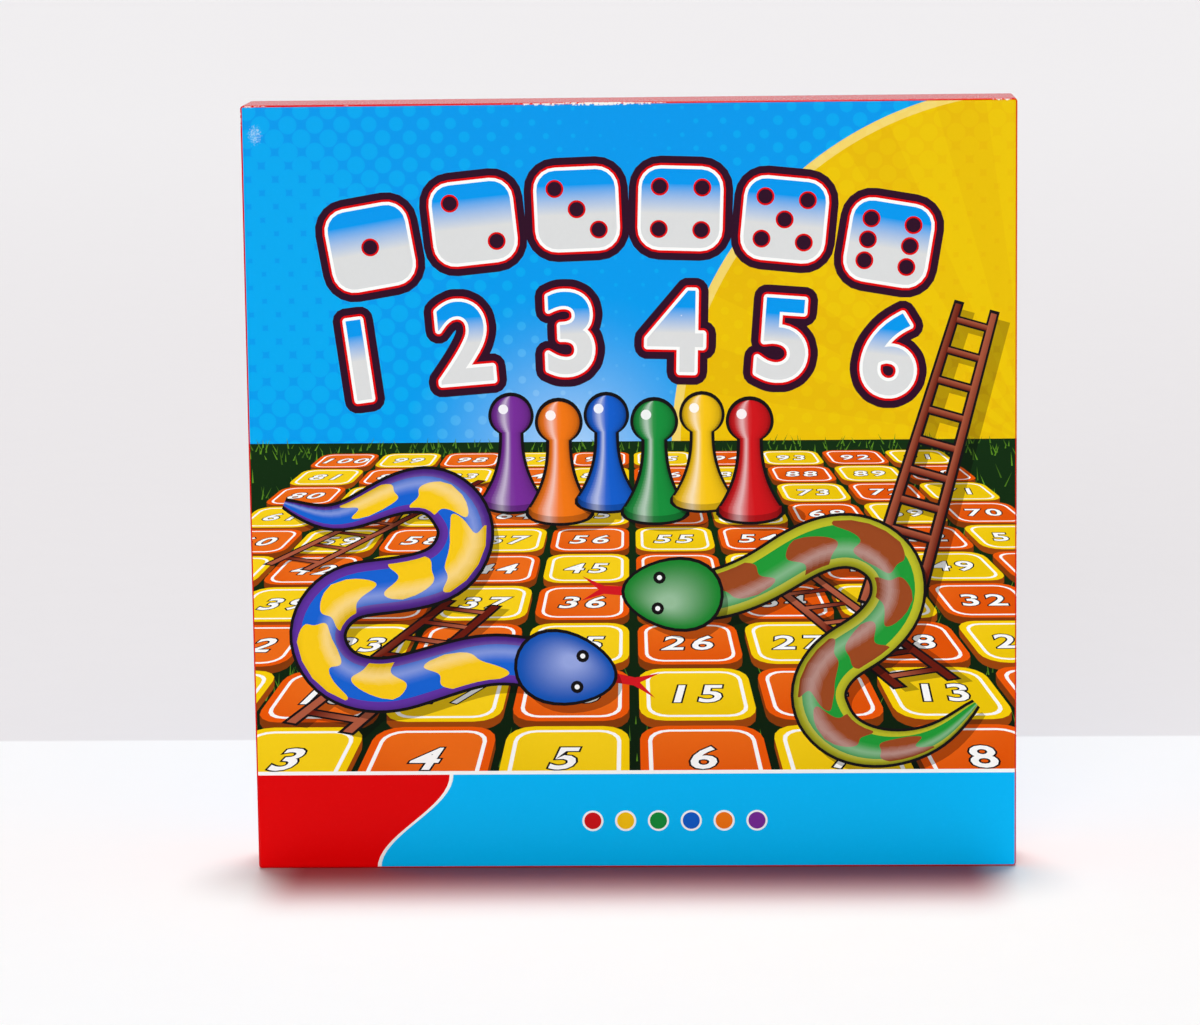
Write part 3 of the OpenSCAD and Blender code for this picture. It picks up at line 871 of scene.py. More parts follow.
def add_pawn(art, x, y, height, colour, outline):
    """A turned pawn with its base at x, y, shaded in upright strips like a glossy solid."""
    # In heights of the pawn: the head's foot, middle and radius, and half the neck and the base
    chin, head, round_head, neck, base = 0.66, 0.82, 0.18, 0.085, 0.27

    def half_width(t):
        if t < chin:
            return neck + 0.185 * (1 - max(t - 0.05, 0) / 0.61) ** 2.4
        lift = (t - head) / round_head
        return max(neck if t < 0.72 else 0.0, round_head * math.sqrt(max(0.0, 1 - lift * lift)))

    head_start = math.asin((chin - head) / round_head)
    levels = even(0, chin, 26)[:-1]
    levels += [head + round_head * math.sin(a) for a in even(head_start, math.pi / 2, 18)]
    last = len(levels) - 1

    def side_line(across, grow=0.0):
        return [(x + height * (half_width(t) + grow) * across, y + height * t) for t in levels]

    def rim(across, lift):
        """The front of the base's round rim."""
        dip = 0.3 * base * math.sqrt(max(0.0, 1 - across * across))
        return x + height * base * across, y + height * (0.02 + lift - dip)

    art.add(ring(x + height * 0.12, y - height * 0.02, height * 0.36, 24, 0.34), SHADOW)
    art.add(ring(x, y + height * 0.02, height * 0.298, 32, 0.36), outline)
    edges = side_line(-1, 0.028), side_line(1, 0.028)
    for i in range(last):
        art.add([edges[0][i], edges[1][i], edges[1][i + 1], edges[0][i + 1]], outline)
    art.add(ring(x, y + height * 0.83, height * 0.205, 28), outline)
    cuts = [-1, -0.88, -0.74, -0.6, -0.46, -0.35, -0.22, -0.05, 0.15, 0.4, 0.65, 0.85, 1]

    def glossy(across):
        """The colour across the pawn, with a light streak on its left."""
        body = 0.35 + 0.65 * math.sqrt(max(0.0, 1 - across * across))
        spark = max(0.0, 1 - abs(across + 0.38) * 2.4)
        return mixed(scaled(colour, body), (1, 1, 1), 0.5 * spark * spark)

    rim_high, foot, least = 0.055, 3, 0.01
    for low, high in zip(cuts, cuts[1:]):
        near, far = side_line(low), side_line(high)
        left, right = glossy(low), glossy(high)
        top = rim(low, rim_high), rim(high, rim_high)
        under = fade(scaled(left, 0.62), near[0], scaled(right, 0.62), far[0])
        art.add([rim(low, 0), rim(high, 0), top[1], top[0]], under)
        art.add([*top, far[foot], near[foot]], fade(left, near[0], right, far[0]))
        for i in range(foot, last):
            (x0, y0), (x1, _), (x2, y2), (x3, _) = near[i], far[i], far[i + 1], near[i + 1]
            if x1 - x0 >= least or x2 - x3 >= least:
                art.add([(x0, y0), (x1, y0), (x2, y2), (x3, y2)],
                        fade(left, (x0, y), right, (max(x1, x0 + 2 * least), y)))
    shine = ring(x - height * 0.07, y + height * 0.88, height * 0.045, 14)
    art.add(shine, mixed(colour, (1, 1, 1), 0.85))


PAWN_COLOURS = {
    "pawn_red": linear(206, 18, 24), "pawn_yellow": linear(246, 196, 16),
    "pawn_green": linear(20, 140, 58), "pawn_blue": linear(16, 92, 200),
    "pawn_orange": linear(240, 118, 16), "pawn_purple": linear(118, 44, 150),
}

# The places of a face's pips, in steps from its middle
PIPS = {1: [(0, 0)], 2: [(-1, 1), (1, -1)], 3: [(-1, 1), (0, 0), (1, -1)],
        4: [(-1, 1), (1, 1), (-1, -1), (1, -1)], 5: [(-1, 1), (1, 1), (-1, -1), (1, -1), (0, 0)],
        6: [(-1, 1), (1, 1), (-1, -1), (1, -1), (-1, 0), (1, 0)]}


def arch(rise, step, sag, lean):
    """Places and turns of six things in an arch over the lid's middle, whose ends sag and lean out."""
    shares = [(i - 2.5) / 2.5 for i in range(6)]
    return [((LID_W / 2 + step * (i - 2.5), rise - sag * share * share), -lean * share)
            for i, share in enumerate(shares)]


def add_pip_tiles(art):
    """Six big rounded tiles with one to six pips, in an arch, faded from blue to white."""
    ink, side = inks(), sizes().big_tile
    tiles = arch(rise=232.0, step=side * 1.32, sag=13, lean=0.17)

    def tile(spot, angle, grow=0.0):
        (x, y), half = spot, side / 2 + grow
        return turned(rounded(x - half, y - half, x + half, y + half, 0.24 * side + grow), spot, angle)

    for grow, colour in ((4.4, ink.plum), (1.9, ink.red), (1.1, ink.white)):
        for spot, angle in tiles:
            art.add(tile(spot, angle, grow), colour)
    for count, (spot, angle) in enumerate(tiles, 1):
        up = Matrix.Rotation(angle, 2) @ Vector((0, side / 2))
        top, low = Vector(spot) + up * 0.62, Vector(spot) - up * 0.14
        art.add(tile(spot, angle), fade(ink.deep_blue, top, ink.silver, low))
        art.mark_fade(top, low, side / 2)
        for px, py in PIPS[count]:
            pip = turned([(spot[0] + px * 0.27 * side, spot[1] + py * 0.27 * side)], spot, angle)[0]
            art.add(ring(*pip, 0.115 * side, 22), ink.red)
            art.add(ring(*pip, 0.092 * side, 22), ink.plum)


def add_numerals(art):
    """One to six in big outlined numerals, in an arch under the tiles."""
    ink, high = inks(), sizes().numeral_height
    numerals = arch(rise=190.0, step=high * 0.94, sag=9, lean=0.13)
    for grow, colour in ((4.6, ink.plum), (2.0, ink.red), (1.2, ink.white), (0.12, None)):
        for digit, (spot, angle) in enumerate(numerals, 1):
            spot, spin = Vector(spot), Matrix.Rotation(angle, 2)
            top, low = spot + spin @ Vector((0, 0.2 * high)), spot - spin @ Vector((0, 0.03 * high))
            tint = colour or fade(ink.deep_blue, top, ink.silver, low)
            if not colour:
                art.mark_fade(top, low, 0.4 * high)
            for triangle in digit_shapes(str(digit), 0.014, 8):
                corners = [((px - DIGIT_MIDDLE[0]) * high, (py - DIGIT_MIDDLE[1]) * high)
                           for px, py in triangle]
                corners = [spot + spin @ Vector(corner) for corner in corners]
                art.add(hull([p for c in corners for p in ring(*c, grow, 14 if colour else 6)]), tint)


VIEWED_SQUARES = 10         # squares along a side of the pictured board


class BoardView:
    """The pictured board, seen from its near side: plan places go to places on the lid."""

    def __init__(self):
        near, far = 7.0, 17.0
        low, high = 22.0, sizes().horizon
        self.near = near
        self.reach = (high - low) / (1 / near - 1 / far)
        self.top = low + self.reach / near
        self.wide = 52.0 * near

    def __call__(self, point, lift=0.0):
        """Where a point of the plan falls on the lid, raised by a lift that is given in squares."""
        depth = self.near + point[1]
        return (LID_W / 2 + (point[0] - VIEWED_SQUARES / 2) * self.wide / depth,
                self.top - self.reach / depth + lift * self.wide / depth)


def square_number(column, row, count):
    """Numbers run up the board, turning back at the end of each row."""
    return row * count + (column if row % 2 == 0 else count - 1 - column) + 1


def add_grass(art, region, count, seed, length):
    """Thin blades of grass scattered over a region of the picture."""
    ink, picker = inks(), random.Random(seed)
    x0, y0, x1, y1 = region
    for _ in range(count):
        x, y = picker.uniform(x0, x1), picker.uniform(y0, y1)
        lean, tall = picker.uniform(-0.6, 0.6), length * picker.uniform(0.5, 1.2)
        tint = mixed(ink.blade, ink.grass, picker.uniform(0.0, 0.7))
        art.add([(x - 0.28, y), (x + 0.28, y), (x + lean * tall, y + tall)], tint)


def add_pictured_board(art):
    """Rows of thick yellow and orange squares with numbers, on grass."""
    ink, view = inks(), BoardView()
    horizon, over = sizes().horizon, 8
    art.add(rectangle(-5, 20, LID_W + 5, horizon + 5),
            fade(scaled(ink.grass, 0.35), (0, 20), ink.grass, (0, horizon)))
    for region, count, seed, length in (
            ((-2, horizon - 1, LID_W + 2, horizon + 4), 260, 3, 3.2), ((-2, 60, 45, horizon), 150, 5, 4.5),
            ((LID_W - 45, 60, LID_W + 2, horizon), 150, 6, 4.5), ((-2, 30, LID_W + 2, 70), 180, 7, 6.0)):
        add_grass(art, region, count, seed, length)
    for row in reversed(range(VIEWED_SQUARES)):
        for column in range(VIEWED_SQUARES):
            if view((column + 1, row + 1))[0] >= -over and view((column, row))[0] <= LID_W + over:
                add_pictured_square(art, view, column, row)


def add_pictured_square(art, view, column, row):
    """A thick square with round corners, a white line inside its edge and its number."""
    ink, raised = inks(), partial(view, lift=0.07)
    light = (column + row) % 2 == 0
    tile = ink.yellow_tile if light else ink.orange_tile
    side = ink.tile_side if light else scaled(ink.tile_side, 0.7)

    def outline(gap, radius):
        return rounded(column + gap, row + gap, column + 1 - gap, row + 1 - gap, radius, 4)

    base = [view(p) for p in outline(0.04, 0.2)]
    top = [raised(p) for p in outline(0.04, 0.2)]
    art.add(hull(base + top), side)
    art.add(top, tile)
    art.add([raised(p) for p in outline(0.1, 0.16)], ink.white)
    far, near = raised((column, row + 1)), raised((column, row))
    art.add([raised(p) for p in outline(0.13, 0.14)],
            fade(mixed(tile, (1, 0.8, 0.1), 0.07), far, scaled(tile, 0.9), near))
    add_number(art, square_number(column, row, VIEWED_SQUARES), (column + 0.5, row + 0.5), 0.42, raised,
               ink.white, ink.ink_black)


BAND_LINE = 1.3             # thickness of the white line over the lower band


def add_lower_band(art):
    """Blue band with a white line over it, a red end with a curved edge and a dot for each pawn."""
    ink, high, out = inks(), sizes().band_height, 5
    head, foot = 68, 42         # where the red ends at the band's top and foot
    sweep = [(head - (head - foot) * (1 - math.cos(t * math.pi)) / 2, high * (1 - t))
             for t in even(0, 1, 16)]
    rest = [(-out, -out), (-out, high)]

    # Painted light: the band's inks grow lighter towards its foot, making up for the shade that falls on
    # the box's lower edge
    def paler_below(colour):
        return fade(colour, (0, high), scaled(colour, 1.12), (0, 0))

    art.add(rectangle(-out, -out, LID_W + out, high + BAND_LINE), ink.white)
    art.add(rectangle(-out, -out, LID_W + out, high), paler_below(ink.band))
    art.add([(x + BAND_LINE, y) for x, y in sweep] + [(foot + BAND_LINE, -out), *rest], ink.white)
    art.add(sweep + [(foot, -out), *rest], paler_below(ink.red))
    for i, colour in enumerate(PAWN_COLOURS.values()):
        x = 118 + 11.5 * i
        art.add(ring(x, high / 2, 3.7), ink.white)
        art.add(ring(x, high / 2, 3.0), colour)


def add_glow(art, centre, reach, ground):
    """A pale haze that fades out into the sky round a place on the horizon."""
    def haze(point):
        share = max(0.0, 1 - math.dist(point, centre) / reach)
        return mixed(ground(point), (0.8, 0.93, 1.0), 0.55 * share * share)

    rings = 8
    for k in range(rings):
        art.add(ring(*centre, reach * (1 - k / rings), 40), haze, 1.0)


def add_sun(art):
    """A quarter sun behind the right edge, with a pale rim and two tones of rays."""
    sun = inks().sun
    middle, reach = Vector((LID_W + 6, 148)), 122.0
    pale = mixed(sun, (1, 0.9, 0.35), 0.4)

    def wedge(start, end, radius):
        """A slice of the sun between two angles, cut at every second degree."""
        parts = max(4, round((end - start) / math.radians(2)))
        rim = [middle + Vector((math.cos(a), math.sin(a))) * radius for a in even(start, end, parts)]
        return [middle, *rim]

    whole = math.radians(84), math.radians(184)
    art.add(wedge(*whole, reach + 3), pale, 0.5)
    art.add(wedge(*whole, reach), sun, 0.55)
    for i in range(6):
        start = math.radians(90 + 16 * i)
        art.add(wedge(start, start + math.radians(8), reach), mixed(sun, (1, 0.78, 0.0), 0.12), 0.55)


# The snakes on the lid: the line of each, in millimetres from the lid's lower left, half width and skin
LID_SNAKES = (
    ([(12, 130), (30, 124), (50, 133), (66, 134), (76, 121), (69, 106), (51, 101), (32, 98.5), (22, 85),
      (28, 70), (45, 65), (64, 70), (84, 75), (104, 72)], 9.0, "blue"),
    ([(252, 58), (238, 46), (220, 42), (204, 47), (196.5, 61), (203, 74), (216, 82), (225, 94),
      (223, 108), (210, 116), (194, 113), (178, 103), (162, 97), (152, 97)], 8.8, "green"),
)
# The ladders that lie on the pictured board: foot and tip in its squares, and the number of rungs
LID_LADDERS = (((2.6, 0.9), (3.4, 3.4), 7), ((7.4, 1.6), (6.5, 4.6), 8), ((1.2, 4.5), (2.6, 8.2), 8))


def lid_artwork():
    """The picture on the lid: sky and sun, pip tiles, pawns, the board with snakes and ladders."""
    ink, art = inks(), Artwork()
    edge, horizon, dark = 8.0, sizes().horizon, ink.ink_black
    whole_sky = fade(ink.sky, (0, LID_H), mixed(ink.sky, (0.0, 0.4, 0.9), 0.2), (0, horizon))
    art.add(rectangle(-edge, -edge, LID_W + edge, LID_H + edge), whole_sky, 1.0)
    add_glow(art, (112, horizon), 58.0, whole_sky)
    add_sun(art)
    add_pip_tiles(art)
    add_numerals(art)
    add_pictured_board(art)
    above = partial(BoardView(), lift=0.1)
    for foot, tip, rungs in LID_LADDERS:
        add_ladder(art, foot, tip, 0.5, rungs, ink.ladder, dark, place=above)
    add_ladder(art, (222, 92), (252, 196), 18, 10, ink.ladder, dark, taper=0.7)
    for i, colour in enumerate(reversed(PAWN_COLOURS.values())):
        odd = i % 2
        add_pawn(art, 91.5 + 16.5 * i, 129 - 4 * odd, 38 + 2 * odd, colour, dark)
    for path, radius, skin in LID_SNAKES:
        add_snake(art, path, radius, skin, dark)
    add_lower_band(art)
    return art


# Turning the artwork into paper

def build_mesh(name, points, faces, colours):
    """An object from points and faces, with each corner's printed colour."""
    mesh = bpy.data.meshes.new(name)
    mesh.from_pydata(points, [], faces)
    layer = mesh.color_attributes.new("ink", "FLOAT_COLOR", "CORNER")
    flat = [value for face in colours for corner in face for value in corner]
    layer.data.foreach_set("color", flat)
    mesh.validate()
    mesh.update()
    made = bpy.data.objects.new(name, mesh)
    bpy.context.scene.collection.objects.link(made)
    return made


def wrapped_box(name, art, width, height, place, rim_depth, wall_ink, slot_material):
    """Printed paper over a box: the artwork bends over the edges into plain walls, round the rim and in.

    place takes a point across, up and deep, in millimetres, and gives its place on the standing box."""
    bend = EDGE_R * math.pi / 2
    bends = even(0, bend, 5)

    def loop_at(reach):
        inset = EDGE_R - reach
        return rounded(inset, inset, width - inset, height - inset, max(reach, 0.01), 6)

    def nearest(x, y):
        """The nearest place on the flat face, inside the bends."""
        return Vector((min(max(x, EDGE_R), width - EDGE_R), min(max(y, EDGE_R), height - EDGE_R)))

    def bent(point):
        """Where a point of the flat picture lies once the paper is bent over the edges."""
        near = nearest(*point)
        over = Vector(point) - near
        if over.length < 1e-6:
            return (near.x, near.y, 0.0)
        angle = min(over.length, bend) / EDGE_R
        out = near + over.normalized() * EDGE_R * math.sin(angle)
        return (out.x, out.y, EDGE_R * (1 - math.cos(angle)))

    def beside(way, reach):
        """The reach along one axis, or nothing where the wall doesn't face that way."""
        return math.copysign(reach, way) if abs(way) > 1e-4 else 0

    loops = [loop_at(reach) for reach in bends[:-1]]
    flat, kept = art.merged(loop_at(bend), [loop + loop[:1] for loop in loops])
    points = [bent(p) for p in flat]
    faces = [list(face) for face, _, _ in kept]
    colours = [[art.colour(owner, light, flat[i]) for i in face] for face, owner, light in kept]
    loop = previous = boundary_loop(faces)
    plain = (*wall_ink, 0.0)
    under = WRAP_T + BOARD_T
    inside = under + WRAP_T
    # Inset from the outside and depth: out to the rim, in round it, and back behind the wrap
    for inset, depth in ((0.0, rim_depth), (inside, rim_depth), (inside, rim_depth - TURN_IN),
                         (under, rim_depth - TURN_IN), (under, rim_depth - WRAP_T),
                         (WRAP_T, rim_depth - WRAP_T), (WRAP_T, WRAP_T)):
        current = []
        for i in loop:
            spot = Vector(points[i][:2])
            near = nearest(*spot)
            out = (spot - near).normalized()
            spot = spot - out * inset
            if inset > EDGE_R:
                spot = near - Vector([beside(way, inset - EDGE_R) for way in out])
            current.append(len(points))
            points.append((spot.x, spot.y, depth))
        for k in range(len(loop)):
            n = (k + 1) % len(loop)
            faces.append([previous[k], previous[n], current[n], current[k]])
            colours.append([plain] * 4)
        previous = current
    faces.append(previous[::-1])
    colours.append([plain] * len(previous))
    made = build_mesh(name, [place(*p) for p in points], faces, colours)
    made.data.materials.append(slot_material)
    for face in made.data.polygons:
        deepest = max(points[i][2] for i in face.vertices)
        face.use_smooth = 0 < deepest < EDGE_R + 0.01
    return tidied(made)


def middle_and_half(low, high):
    """The middle and the half size of a box in metres, from its corners in millimetres."""
    return (low + high) / 2 * MM, (high - low) / 2 * MM


def tidied(made):
    """Merges points that coincide and turns every face outwards."""
    bm = bmesh.new()
    bm.from_mesh(made.data)
    bmesh.ops.remove_doubles(bm, verts=bm.verts, dist=1e-7)
    bmesh.ops.recalc_face_normals(bm, faces=bm.faces)
    bm.to_mesh(made.data)
    bm.free()
    return made


def boundary_loop(faces):
    """The outer edge of a sheet of faces, as one loop of point numbers."""
    sides = {side for face in faces for side in zip(face, face[1:] + face[:1])}
    onward = {a: b for a, b in sides if (b, a) not in sides}
    start = next(iter(onward))
    loop = [start]
    while onward[loop[-1]] != start:
        loop.append(onward[loop[-1]])
    return loop


DOTS_DOWN = 55              # how far under a wrap's upper edge its halftone dots are largest


class GAME_OT_lid_wrap(bpy.types.Operator):
    """Make the printed paper of the lid"""
    bl_idname = "game.lid_wrap"
    bl_label = "Lid Wrap"

    def execute(self, context):
        art = lid_artwork()
        red = inks().red
        add_edge_ink(art, LID_W, LID_H, red, left=-0.6, right=0.5)
        front = LID_LOW.y * MM

        def place(across, up, deep):
            return (LID_LOW.x + across) * MM, front + deep * MM, (LID_LOW.z + up) * MM

        middle, half = middle_and_half(LID_LOW, LID_HIGH)
        paper = printed_paper(
            "lid_print", half, middle, wear=0.42,
            dots_from=(LID_HIGH.x * MM, abs(front), (LID_HIGH.z - DOTS_DOWN) * MM),
            scuffed=((LID_LOW.x + 5) * MM, front, (LID_HIGH.z - 10) * MM),
            worn_run=(-14 * MM, front, LID_HIGH.z * MM),
        )
        wrap = wrapped_box("lid_print", art, LID_W, LID_H, place, LID_HIGH.y - LID_LOW.y, red, paper)
        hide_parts("lid_wrap")
        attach(wrap, "lid")
        return {"FINISHED"}


def add_edge_ink(art, width, height, ink, left=0.0, right=0.0):
    """The walls' colour, from part way round the bend outwards, or moved out at the left and right."""
    out = 4.0
    x, y = width + out, height + out
    for strip in ((-out, -out, x, 0.0), (-out, height, x, y), (-out, -out, -left, y),
                  (width + right, -out, x, y)):
        art.add(rectangle(*strip), ink)


class GAME_OT_tray_wrap(bpy.types.Operator):
    """Make the printed paper of the tray"""
    bl_idname = "game.tray_wrap"
    bl_label = "Tray Wrap"

    def execute(self, context):
        ink, art = inks(), Artwork()
        out, band = 8.0, sizes().band_height
        for top, colour, screen in ((TRAY_H + out, ink.sky, 1.0), (band + BAND_LINE, ink.white, 0.0),
                                    (band, ink.red, 0.0)):
            art.add(rectangle(-out, -out, TRAY_W + out, top), colour, screen)
        add_edge_ink(art, TRAY_W, TRAY_H, ink.red)
        back = TRAY_HIGH.y

        def place(across, up, deep):
            return (TRAY_HIGH.x - across) * MM, (back - deep) * MM, (TRAY_LOW.z + up) * MM

        middle, half = middle_and_half(TRAY_LOW, TRAY_HIGH)
        dots_from = (TRAY_HIGH.x * MM, back * MM, (TRAY_HIGH.z - DOTS_DOWN) * MM)
        paper = printed_paper("tray_print", half, middle, dots_from, wear=0.3)
        wrap = wrapped_box("tray_print", art, TRAY_W, TRAY_H, place, back - TRAY_LOW.y, ink.red, paper)
        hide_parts("tray_wrap")
        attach(wrap, "tray")
        return {"FINISHED"}


# The board's ladders: foot and tip in its squares, and the number of rungs
BOARD_LADDERS = (((3, 0), (4.2, 3.1), 8), ((8, 0), (9, 2.9), 7), ((0, 2), (1.2, 4.8), 7),
                 ((6, 3), (7.4, 7.2), 11), ((2.2, 6), (1, 9), 8), ((9, 6), (8.2, 9), 7))
# The board's snakes: the line of each, in squares, and its skin
BOARD_SNAKES = (
    ([(6.2, 0.9), (5.3, 1.7), (6.2, 2.6), (5.2, 3.5), (5.8, 4.6), (4.9, 5.4)], "blue"),
    ([(0.3, 0.8), (1.2, 1.6), (0.2, 2.6), (0.9, 3.6)], "red"),
    ([(3.2, 4.2), (2.2, 5.2), (3.4, 6.1), (2.6, 7.2), (3.8, 8.4), (3.0, 9.2)], "green"),
    ([(8.8, 3.6), (7.9, 4.6), (8.9, 5.6), (8.2, 6.2)], "purple"),
    ([(4.8, 6.8), (5.6, 7.6), (5.0, 8.4), (6.2, 9.1), (7.2, 8.9)], "orange"),
)


def board_artwork(width, height):
    """The playing side: a hundred numbered squares with ladders up and snakes down."""
    ink, art = inks(), Artwork()
    count, dark, out = sizes().squares, ink.ink_black, 2.0
    step = Vector((width / count, height / count))

    def centre(square):
        return (square[0] + 0.5) * step.x, (square[1] + 0.5) * step.y

    art.add(rectangle(-out, -out, width + out, height + out), ink.grass)
    add_grass(art, (0, 0, width, height), 900, 11, 4.0)
    for row in range(count):
        for column in range(count):
            tile = ink.yellow_tile if (column + row) % 2 == 0 else ink.orange_tile
            x, y = column * step.x, row * step.y
            face = fade(mixed(tile, (1, 0.9, 0.4), 0.2), (x, y + step.y), tile, (x, y))
            for gap, radius, tint in ((0.8, 4.0, scaled(tile, 0.55)), (1.1, 3.8, tile),
                                      (2.3, 3.0, ink.white), (2.9, 2.6, face)):
                art.add(rounded(x + gap, y + gap, x + step.x - gap, y + step.y - gap, radius, 4), tint)
            add_number(art, square_number(column, row, count), (x + 0.3 * step.x, y + 0.72 * step.y), 6.4,
                       tuple, ink.white, dark)
    for foot, tip, rungs in BOARD_LADDERS:
        add_ladder(art, centre(foot), centre(tip), 11.0, rungs, ink.ladder, dark)
    for path, skin in BOARD_SNAKES:
        add_snake(art, [centre(p) for p in path], 4.2, skin, dark, steps=36, patches=6)
    return art


def printed_sheet(name, art, flat, kept, place, material, both_sides=False):
    """A sheet of printed paper: its inked side at depth 0, its bare side at depth 1, and its edges."""
    used = sorted({i for face, _, _ in kept for i in face})
    order = {i: k for k, i in enumerate(used)}
    points = [place(*flat[i], 0) for i in used] + [place(*flat[i], 1) for i in used]
    faces = [[order[i] for i in face] for face, _, _ in kept]
    colours = [[art.colour(owner, light, flat[i]) for i in face] for face, owner, light in kept]
    loop = boundary_loop(faces)
    under = len(used)
    plain = (*inks().white, 0.0)
    bare = [[i + under for i in face[::-1]] for face in (faces if both_sides else [loop])]
    for a, b in zip(loop, loop[1:] + loop[:1]):
        bare.append([a, a + under, b + under, b])
    colours += [[plain] * len(face) for face in bare]
    made = build_mesh(name, points, faces + bare, colours)
    made.data.materials.append(material)
    return tidied(made)


class GAME_OT_board_print(bpy.types.Operator):
    """Make the printed sheets of the board's two halves and the strip over their crease"""
    bl_idname = "game.board_print"
    bl_label = "Board Print"

    def execute(self, context):
        low, high = (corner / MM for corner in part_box("board_face_right"))
        left_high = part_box("board_face_left")[1] / MM
        width, height, paper = 2 * high.x, high.z - low.z, high.y - low.y
        inner = low.x
        art = board_artwork(width, height)
        fold = width / 2
        round_end = 0.2                         # half the strip that bends round the fold, laid flat
        lines = [fold - inner, fold + inner] + [fold + round_end * i / 3 for i in range(-3, 4)]
        flat, kept = art.merged(rectangle(0, 0, width, height), [[(x, 0), (x, height)] for x in lines])

        def beyond_fold(face):
            """How far the middle of a face lies to the right of the fold."""
            return sum(flat[i][0] for i in face) / len(face) - fold

        material = printed_paper("board_print", (0.5, 0.5, 0.5), (0, 0, 0), FAR_AWAY, gloss=0.3, wear=0.0)

        def place_right(across, up, deep):
            return (across - fold) * MM, (low.y + deep * paper) * MM, (low.z + up) * MM

        def place_left(across, up, deep):
            return (fold - across) * MM, (left_high.y - deep * paper) * MM, (low.z + up) * MM

        hinge_y = (low.y + left_high.y) / 2
        reach = (low.y - left_high.y) / 2       # from the fold's axis to the print
        under, thick = 0.09, 0.08               # depth of the crease strip under the print, and thickness

        def place_crease(across, up, deep):
            beyond = across - fold
            radius = reach - under + thick * deep
            if abs(beyond) >= round_end:
                side = math.copysign(1, beyond)
                out = (abs(beyond) - round_end) * inner / (inner - round_end)
                return out * MM, (hinge_y + side * radius) * MM, (low.z + up) * MM
            turn = (round_end - beyond) / (2 * round_end) * math.pi
            bow = hinge_y + radius * math.cos(turn)
            return -radius * math.sin(turn) * MM, bow * MM, (low.z + up) * MM

        parts = (
            ("board_print_right", place_right, inner, math.inf),
            ("board_print_left", place_left, -math.inf, -inner),
            ("board_crease", place_crease, -inner, inner),
        )
        made = {}
        for name, place, start, end in parts:
            chosen = [item for item in kept if start < beyond_fold(item[0]) < end]
            made[name] = printed_sheet(name, art, flat, chosen, place, material, name == "board_crease")
        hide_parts("board_face_right")
        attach(made["board_print_right"], "board")
        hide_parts("board_face_left")
        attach(made["board_print_left"], "board_half")
        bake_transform(made["board_crease"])
        return {"FINISHED"}


class GAME_OT_insert_sheet(bpy.types.Operator):
    """Make the formed plastic sheet with soft edges"""
    bl_idname = "game.insert_sheet"
    bl_label = "Insert Sheet"

    def execute(self, context):
        soft = 0.35 * MM
        mesh = bpy.data.objects["moulded_insert"].data.copy()
        bm = bmesh.new()
        bm.from_mesh(mesh)
        bmesh.ops.remove_doubles(bm, verts=bm.verts, dist=1e-6)
        bmesh.ops.dissolve_limit(bm, angle_limit=math.radians(1), verts=bm.verts, edges=bm.edges)
        sharp = [e for e in bm.edges if len(e.link_faces) == 2 and e.calc_face_angle(0) > math.radians(50)]
        bmesh.ops.bevel(bm, geom=sharp, offset=soft, segments=2, profile=0.5, affect="EDGES",
                        clamp_overlap=True)
        bmesh.ops.triangulate(bm, faces=[f for f in bm.faces if len(f.verts) > 4])
        bm.to_mesh(mesh)
        bm.free()
        mesh.name = "insert_sheet"
        mesh.materials.clear()
        mesh.materials.append(moulded_plastic("insert_plastic", linear(236, 236, 234), rough=0.3))
        for face in mesh.polygons:
            face.use_smooth = True
        mesh.set_sharp_from_angle(angle=math.radians(35))
        sheet = bpy.data.objects.new("insert_sheet", mesh)
        context.scene.collection.objects.link(sheet)
        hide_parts("moulded_insert")
        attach(sheet, "insert")
        return {"FINISHED"}


def dress(material, *nodes):
    """Gives pieces of the frame a material in place of their own."""
    for node in nodes:
        piece = bpy.data.objects[node]
        for slot in piece.material_slots:
            slot.material = material
        if not piece.material_slots:
            piece.data.materials.append(material)


class GAME_OT_greyboards(bpy.types.Operator):
    """Give the greyboards of the lid, the tray and the board their bare grey"""
    bl_idname = "game.greyboards"
    bl_label = "Greyboards"

    def execute(self, context):
        dress(bare_board("greyboard", 172, 165, 152),
              "lid_shell", "tray_shell", "board_panel_left", "board_panel_right")
        return {"FINISHED"}


class GAME_OT_corner_stays(bpy.types.Operator):
    """Give the paper angles in the box's corners their brown paper"""
    bl_idname = "game.corner_stays"
    bl_label = "Corner Stays"

    def execute(self, context):
        dress(bare_board("stay_paper", 196, 176, 146), "lid_corner_stays", "tray_corner_stays")
        return {"FINISHED"}


class GAME_OT_board_backing(bpy.types.Operator):
    """Give the backs and edges of the board their linen paper"""
    bl_idname = "game.board_backing"
    bl_label = "Board Backing"

    def execute(self, context):
        dress(linen_paper("board_backing", linear(20, 40, 120)), "board_back_left", "board_back_right")
        return {"FINISHED"}


class GAME_OT_leaflet(bpy.types.Operator):
    """Print the folded rules leaflet"""
    bl_idname = "game.leaflet"
    bl_label = "Leaflet"

    def execute(self, context):
        dress(leaflet_paper(), "rules_leaflet")
        return {"FINISHED"}


class GAME_OT_die(bpy.types.Operator):
    """Give the die its plastic and its pips their paint"""
    bl_idname = "game.die"
    bl_label = "Die"

    def execute(self, context):
        dress(moulded_plastic("die_plastic", linear(244, 242, 236), rough=0.16, subsurface=0.2), "die")
        dress(moulded_plastic("pip_paint", linear(14, 14, 16), rough=0.3), "die_pips")
        return {"FINISHED"}


class GAME_OT_pawns(bpy.types.Operator):
    """Give each of the six pawns its coloured plastic"""
    bl_idname = "game.pawns"
    bl_label = "Pawns"

    def execute(self, context):
        for pawn, colour in PAWN_COLOURS.items():
            dress(moulded_plastic(pawn + "_plastic", colour, rough=0.2), pawn)
        return {"FINISHED"}


